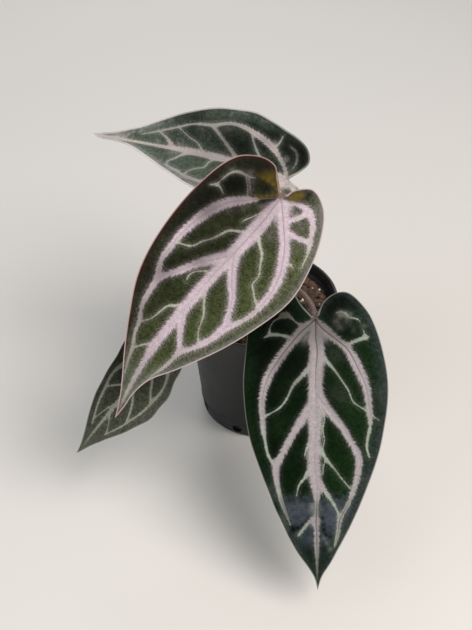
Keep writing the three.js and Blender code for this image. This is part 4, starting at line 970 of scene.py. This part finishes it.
def blade_mesh(name, leaf):
    """The blade as a thin closed sheet, ruled from the midrib out to the margin. Past
    FAN_START the rulings fan round the junction and fill the basal lobes."""
    rows = round(leaf["length"] * ROWS_PER_MM)
    bm = bmesh.new()
    bmesh.ops.create_grid(bm, x_segments=2 * round(leaf["half_width"] * COLUMNS_PER_MM),
                          y_segments=rows, size=1)
    bmesh.ops.solidify(bm, geom=bm.faces[:], thickness=1)
    data = mesh_from(bm, name)
    flat = np.empty(len(data.vertices) * 3)
    data.vertices.foreach_get("co", flat)
    flat = flat.reshape(-1, 3)
    below = flat[:, 2] < -0.5
    # Both faces share one set of plane points
    sheet, both = np.unique(np.round(flat[:, :2], 5), axis=0, return_inverse=True)
    both = both.ravel()
    across, row = sheet[:, 0], (sheet[:, 1] + 1) / 2
    margins = [evenly_spaced(leaf[side][::-1], rows) for side in ("left", "right")]
    stops = np.linspace(0, 1, rows + 1)
    margin_x, margin_y = [
        np.where(across < 0, *(np.interp(row, stops, margin[:, i]) for margin, _ in margins))
        for i in (0, 1)]
    inner_y = leaf["length"] * np.clip(1 - row / FAN_START, 0, 1)
    out = np.abs(across)
    spots = np.stack([margin_x * out, inner_y + (margin_y - inner_y) * out], 1)
    x, y = spots.T
    veins = vein_fields(leaf, spots)
    middle, groove, half = veins.pop("vein_middle"), veins["groove_gap"], veins["vein_half"]
    outline = np.vstack([margins[0][0], margins[1][0][::-1]])[::2]
    margin_gap = np.abs(distance_to_line(spots, outline)[0])
    puff = PUFF * (1 - np.exp(-(middle / PUFF_REACH) ** 2))
    top = puff - GROOVE_DEPTH * np.exp(-(groove / GROOVE_WIDTH) ** 2)
    thin = BLADE_THICKNESS * (0.6 + 0.4 * np.clip(margin_gap / THIN_EDGE, 0, 1))
    rib = (0.45 * half + 0.15) * np.exp(-(middle / (0.4 * half + 0.35)) ** 2)
    bottom = puff - thin - rib * np.clip(margin_gap / RIB_END, 0, 1)
    lift = np.where(below, bottom[both], top[both])
    places = blade_points(leaf, x[both], y[both], lift) * MM
    data.vertices.foreach_set("co", places.ravel())
    # Painted light: the blade is paler towards its lit side and towards its tip, and the light
    # patches add to it
    light = 0.5 + leaf["lit_side"] * x / leaf["half_width"] + 0.3 * (y / leaf["length"] - 0.4)
    marks = {
        **veins,
        "margin_gap": margin_gap,
        "margin_run": row * margins[0][1] * np.where(across < 0, 1, -1),
        "out_mm": out * np.hypot(margin_x, margin_y - inner_y),
        "down_mm": y,
        "glow": patches(spots, leaf["glows"]),
        "shade": patches(spots, leaf["shades"]),
        "dust": patches(spots, leaf["dusts_and_sheen"]),
        "dim": patches(spots, leaf["dims"]),
        "light": np.clip(light, 0, 1) + patches(spots, leaf["lights"]),
    }
    marks = {mark: values[both] for mark, values in marks.items()} | {"underside": below}
    for mark, values in marks.items():
        layer = data.attributes.new(mark, "FLOAT", "POINT")
        layer.data.foreach_set("value", values.astype("f"))
    plane = np.stack([x[both], y[both], np.where(below, UNDERSIDE_SHIFT, 0.0)], 1)
    layer = data.attributes.new("plane_mm", "FLOAT_VECTOR", "POINT")
    layer.data.foreach_set("vector", plane.astype("f").ravel())
    bm = bmesh.new()
    bm.from_mesh(data)
    bpy.data.meshes.remove(data)
    bmesh.ops.remove_doubles(bm, verts=bm.verts[:], dist=2e-6)
    bmesh.ops.dissolve_degenerate(bm, edges=bm.edges[:], dist=1e-6)
    bmesh.ops.recalc_face_normals(bm, faces=bm.faces[:])
    return bm


def leaf_material(name, leaf):
    """Living velvet leaf. Tiny cones all over it trap the light, so the green between the
    veins is deep and dull, and air under the skin turns the veins silver. The cones, really
    0.05 mm wide, are drawn at 0.8 mm, and the feathered edges of the veins at 0.6 mm."""
    material, add, shader = new_material(
        "velvet leaf " + name[-1], {"IOR": 1.4, "Specular IOR Level": 0.05})
    mark = {kind: add("Attribute", output="Fac", attribute_name=kind)
            for kind in ("vein_gap", "vein_side", "vein_reach", "vein_half", "vein_run",
                         "groove_side", "groove_gap", "margin_gap", "margin_run", "out_mm",
                         "down_mm", "glow", "shade", "dust", "dim", "light", "underside")}
    plane = add("Attribute", output="Vector", attribute_name="plane_mm")
    cones, grit, drift, mottle, cloud = [
        add("TexNoise", plane, scale, detail, 0.6)
        for scale, detail in ((1.25, 2.0), (1.5, 3.0), (0.16, 2.0), (0.42, 4.0), (0.07, 3.0))]
    from_middle = add("Math", mark["vein_side"], operation="ABSOLUTE")
    from_vein = add("CombineXYZ", mark["vein_run"], from_middle, 40.0)
    to_margin = add("CombineXYZ", mark["margin_run"], mark["out_mm"])
    feather, streak = [
        add("TexNoise", add("Mapping", Vector=strokes, Scale=squeeze), 1.0, 3.0, 0.65)
        for strokes, squeeze in ((from_vein, (1.6, 0.3, 1)), (to_margin, (0.6, 0.07, 1)))]
    net = add("TexVoronoi", plane, 0.24, feature="DISTANCE_TO_EDGE")

    # Green between the veins, and a paler zone along the margin, crossed by fine strokes. lit is
    # painted light and shade: each pair of colours runs from the dim side to the lit side.
    stir = add("MapRange", cloud, 0.3, 0.7, -0.2, 0.2)
    lit = add("Math", mark["light"], stir, operation="ADD", use_clamp=True)
    green = add("Mix", lit, *leaf["cell"])
    edge_green = add("Mix", lit, *leaf["edge_zone"])
    most = add("MapRange", streak, 0.35, 0.65, 0.35)
    zone = add("MapRange", mark["margin_gap"], 8.5, 1.5, 0, most)
    zoned = add("Mix", zone, green, edge_green)

    # Painted sheen near the tip, blotched and cracked, with ragged ends; there the grain of the
    # velvet and its silver are weaker
    start, full, fading, gone, inset = leaf["bare"]
    jag = add("MapRange", mottle, 0.3, 0.7, -2.0, 2.0)
    ragged = add("Math", mark["down_mm"], jag, operation="ADD")
    begun = add("MapRange", ragged, start, full, interpolation_type="SMOOTHSTEP")
    ending = add("MapRange", ragged, gone, fading, 0, begun)
    bare = add("MapRange", mark["margin_gap"], inset, inset + 3.5, 0, ending)
    lower = add("MapRange", mark["down_mm"], full, fading, -0.12, 0.12)
    deeper = add("Math", drift, lower, operation="ADD")
    blotch = add("MapRange", deeper, 0.38, 0.62)
    tip_sheen = add("Mix", blotch, leaf["tip_zone"], leaf["tip_blotch"])
    crack = add("MapRange", net, 0.0, 0.07, leaf["tip_cracks"], 0.0)
    cracked = add("Mix", crack, tip_sheen, leaf["shade"])
    tipped = add("Mix", bare, zoned, cracked)
    # Painted shade: the shade patches darken the blade towards its shade colour
    shaded = add("Mix", mark["shade"], tipped, leaf["shade"])

    # Grain of the velvet: mottled, with the finest net of veins a little paler, and sparks,
    # bright specks painted as glints off its tiny cones
    base_grain = add("MapRange", mottle, 0.3, 0.7, -0.55, 0.3)
    grain = add("Math", cones, 2.2, base_grain, operation="MULTIPLY_ADD")
    sparks = add("MapRange", cones, 0.62, 0.7, 0, 0.9)
    net_gain = add("MapRange", net, 0.015, 0.07, 0.2, sparks)
    netted = add("Math", grain, net_gain, operation="ADD")
    smoothed = add("MapRange", bare, 0, 1.3, netted, 1.0)
    velvet = add("VectorMath", shaded, smoothed, operation="SCALE")

    # Silver veins. Their edges are feathered, more so on the broad ones, and fade into dust,
    # which is heavier on the lit side as painted light. Painted shade hides the silver, and the
    # dims dull it, partly as painted shade
    reach = add("MapRange", mark["vein_half"], 0.3, 2.5, 0.42)
    comb = add("MapRange", feather, 0.3, 0.7, -2.1, 0.15)
    push = add("Math", grit, 1.6, comb, operation="MULTIPLY_ADD")
    past_edge = add("Math", from_middle, mark["vein_reach"], operation="SUBTRACT")
    far_past = add("Math", mark["vein_gap"], 0.4, operation="SUBTRACT")
    outside = add("Math", past_edge, far_past, operation="MAXIMUM")
    frayed = add("Math", push, reach, outside, operation="MULTIPLY_ADD")
    blur = add("MapRange", mark["vein_half"], 0.3, 2.0, 0.22, 0.85)
    faded = add("Math", frayed, blur, operation="DIVIDE")
    core = add("MapRange", faded, 1.0, -1.0, interpolation_type="SMOOTHSTEP")
    most_dust = add("MapRange", lit, 0, 1, leaf["halo"] / 2, leaf["halo"])
    dusting = add("MapRange", cones, 0.38, 0.6, 0, most_dust)
    halo = add("MapRange", frayed, 2.8, 0.0, 0, dusting, interpolation_type="SMOOTHSTEP")
    dusted = add("MapRange", mottle, 0.25, 0.52, 0, mark["dust"])
    silvered = add("Math", core, halo, operation="MAXIMUM")
    all_silver = add("Math", silvered, dusted, operation="MAXIMUM")
    out_of_shade = add("MapRange", mark["shade"], 0, 1.15, all_silver, 0.0)
    silver_share = add("MapRange", bare, 0, 1 / (1 - leaf["tip_veins"]), out_of_shade, 0.0)
    broad = add("MapRange", mark["vein_half"], 0.6, 1.6)
    toned = add("Math", broad, dusted, operation="MAXIMUM")
    silver = add("Mix", toned, leaf["thin_vein"], leaf["vein"])
    patchy = add("MapRange", mottle, 0.35, 0.6, 0, 0.3)
    stroked = add("MapRange", grit, 0.38, 0.58, 0.5, patchy)
    dulled = add("MapRange", mark["dim"], 0, 1, stroked, 1.0)
    dull_silver = add("Mix", dulled, silver, leaf["vein_shade"])
    veined = add("Mix", silver_share, velvet, dull_silver)
    # Thin mauve groove along the main veins, deepest near the junction
    deepest = add("MapRange", mark["down_mm"], 0, leaf["groove_end"], leaf["groove_depth"], 0.0)
    off_groove = add("Math", mark["groove_side"], operation="ABSOLUTE")
    far_off = add("Math", mark["groove_gap"], 0.35, operation="SUBTRACT")
    from_groove = add("Math", off_groove, far_off, operation="MAXIMUM")
    at_tip = add("MapRange", bare, 0, 1, 0, 2 * leaf["tip_cracks"])
    depth = add("Math", deepest, at_tip, operation="MAXIMUM")
    line = add("MapRange", from_groove, 0.5, 0.15, 0, depth)
    grooved = add("Mix", line, veined, leaf["groove"])

    # Drip tip; the rim, darkened to brown on the dim side as painted shade; a thin pale strip on
    # the lit side, painted light through the thin margin; the fine pale line, lighter on the lit
    # side and fainter in painted shade; and the olive glow, a painted glow of light through the
    # lobes, darker at its edges as painted shade
    near_end = add("MapRange", mark["down_mm"], leaf["length"] - 11, leaf["length"] - 5)
    ended = add("Mix", near_end, grooved, leaf["tip_end"])
    rim_most = add("MapRange", lit, 0, 1, 0.75, 0.0)
    in_rim = add("MapRange", mark["margin_gap"], 3.4, 0.4, 0, rim_most)
    rimmed = add("Mix", in_rim, ended, leaf["rim"])
    hazy = add("MapRange", mottle, 0.35, 0.6, 0.3, 0.8)
    strip_most = add("MapRange", lit, 0.4, 0.9, 0, hazy)
    in_strip = add("MapRange", mark["margin_gap"], leaf["strip_width"], leaf["strip_width"] / 3, 0,
                   strip_most)
    stripped = add("Mix", in_strip, rimmed, leaf["strip"])
    line_tone = add("Mix", lit, *leaf["edge_line"])
    line_most = add("MapRange", mark["shade"], 0, 1, 0.9, 0.3)
    on_line = add("MapRange", mark["margin_gap"], leaf["edge_width"], leaf["edge_width"] - 0.4, 0,
                  line_most)
    edged = add("Mix", on_line, stripped, line_tone)
    olive = add("Mix", lit, *leaf["glow"])
    patchy_glow = add("MapRange", grit, 0.35, 0.6, 0.75)
    glow_share = add("Math", mark["glow"], patchy_glow, operation="MULTIPLY")
    within = add("MapRange", mark["glow"], 0.2, 0.9)
    glow_tone = add("Mix", within, leaf["rim"], olive)
    glowing = add("Mix", glow_share, edged, glow_tone)

    # Underside: matt pale green, with pinkish ribs and a net
    pale = add("Mix", cloud, "#536040", "#6c7a54")
    on_net = add("MapRange", net, 0.015, 0.09, 0.35, 0.0)
    pale_net = add("Mix", on_net, pale, "#86946e")
    on_rib = add("MapRange", mark["vein_gap"], 0.3, -0.8)
    below = add("Mix", on_rib, pale_net, "#95867a")
    skin = add("Mix", mark["underside"], glowing, below)
    roughness = add("MapRange", core, 0, 1, 0.62, 0.45)
    net_height = add("MapRange", net, 0, 0.2, 0, 0.35)
    relief = add("Math", cones, net_height, operation="ADD")
    bump = add("Bump", Height=relief, Strength=0.4, Distance=0.3 * MM)
    feed(shader, {"Base Color": skin, "Roughness": roughness, "Normal": bump})
    return material


leaves = {name: set_out(leaf) for name, leaf in LEAVES.items()}
for name, leaf in leaves.items():
    velvet = leaf_material(name, leaf)
    add_piece(name + "_velvet", blade_mesh(name, leaf), velvet, [name + "_blade"],
              crease=75)


# Petioles: smooth round leaf stalks, green and flushed pink towards the blade. Each has a
# shallow channel on its inner side, a broad sheath at its foot against the stem and a
# swollen joint under the blade, where the leaf can turn to the light.
PETIOLE_RADIUS = 1.9
SHEATH_RADIUS = 3.1
JOINT_RADIUS = 2.6
SHEATH_END = 0.28
JOINT_MIDDLE = 0.955
JOINT_SPREAD = 0.035
CHANNEL_DEPTH = 0.2
CHANNEL_END = 0.85
CHANNEL_SPREAD = 0.45
PETIOLE_STEPS = 90
PETIOLE_SIDES = 28
CAD_GAP = 0.35
CAD_BLADE = 0.8

# Petiole skin: smooth living tissue, with a soft gloss and fine reddish flecks
petiole_skin, add, shader = new_material("petiole skin", {"Roughness": 0.42, "IOR": 1.45})
place = add("TexCoord", output="Object")
up_share = add("Attribute", attribute_name="along", output="Fac")
fine = add("Mapping", Vector=place, Scale=(1, 1, 0.3))
fleck = add("TexNoise", fine, 1 / (1.2 * MM), 5.0, 0.65)
flush = add("MapRange", up_share, 0.35, 1.0)
stalk = add("Mix", flush, "#545c34", "#74545a")
speckled = add("MapRange", fleck, 0.5, 0.75, 0, 0.5)
at_blade = add("MapRange", up_share, 0.93, 0.98)
kneed = add("Mix", at_blade, stalk, "#6f6233")
flecked = add("Mix", speckled, kneed, "#5f3d40")
bump = add("Bump", Height=fleck, Strength=0.3, Distance=0.15 * MM)
feed(shader, {"Base Color": flecked, "Normal": bump})


def petiole_radius(share):
    """Radius of the stalk at a share of its length."""
    sheath = (SHEATH_RADIUS - PETIOLE_RADIUS) * max(0, 1 - share / SHEATH_END)
    past_joint = (share - JOINT_MIDDLE) / JOINT_SPREAD
    joint = (JOINT_RADIUS - PETIOLE_RADIUS) * math.exp(-past_joint ** 2)
    return (PETIOLE_RADIUS * (1 - 0.15 * share) + sheath + joint) * MM


def channelled(angle, share):
    """A round section with a shallow channel, which closes towards the joint."""
    depth = CHANNEL_DEPTH * max(0, 1 - share / CHANNEL_END)
    from_middle = (angle + math.pi) % (2 * math.pi) - math.pi
    return 1 - depth * math.exp(-(from_middle / CHANNEL_SPREAD) ** 2)


for name, leaf in leaves.items():
    angle = math.radians(leaf["base"])
    outward = Vector((math.cos(angle), math.sin(angle), 0))
    foot = outward * (STEM_RADIUS / MM + CAD_GAP + SHEATH_RADIUS)
    foot.z = (MIX_TOP + MIX_BUMP) / MM + CAD_GAP
    up, heading = Vector(leaf["up"]), Vector(leaf["heading"])
    end = Vector(leaf["origin"]) - up * (CAD_BLADE + CAD_GAP + JOINT_RADIUS * math.sqrt(0.5))
    reach = (end - foot).length
    rise = foot + Vector((0, 0, 0.45 * reach)) + outward * 4
    approach = end - (up + heading).normalized() * 0.3 * reach
    path = [point * MM for point in bent_path([foot, rise, approach, end], PETIOLE_STEPS)]
    path[0] = path[0] - Vector((0, 0, 1.2 * MM))
    stalk_mesh = bmesh.new()
    radii = [petiole_radius(i / PETIOLE_STEPS) for i in range(PETIOLE_STEPS + 1)]
    finish = (Vector(leaf["origin"]) + heading * 0.6) * MM
    path += [path[-1].lerp(finish, 0.35), path[-1].lerp(finish, 0.7)]
    radii += [radii[-1] * 0.85, radii[-1] * 0.5]
    grow_tube(stalk_mesh, path, radii, PETIOLE_SIDES, channelled)
    add_piece(name + "_stalk", stalk_mesh, petiole_skin, [name + "_petiole"])
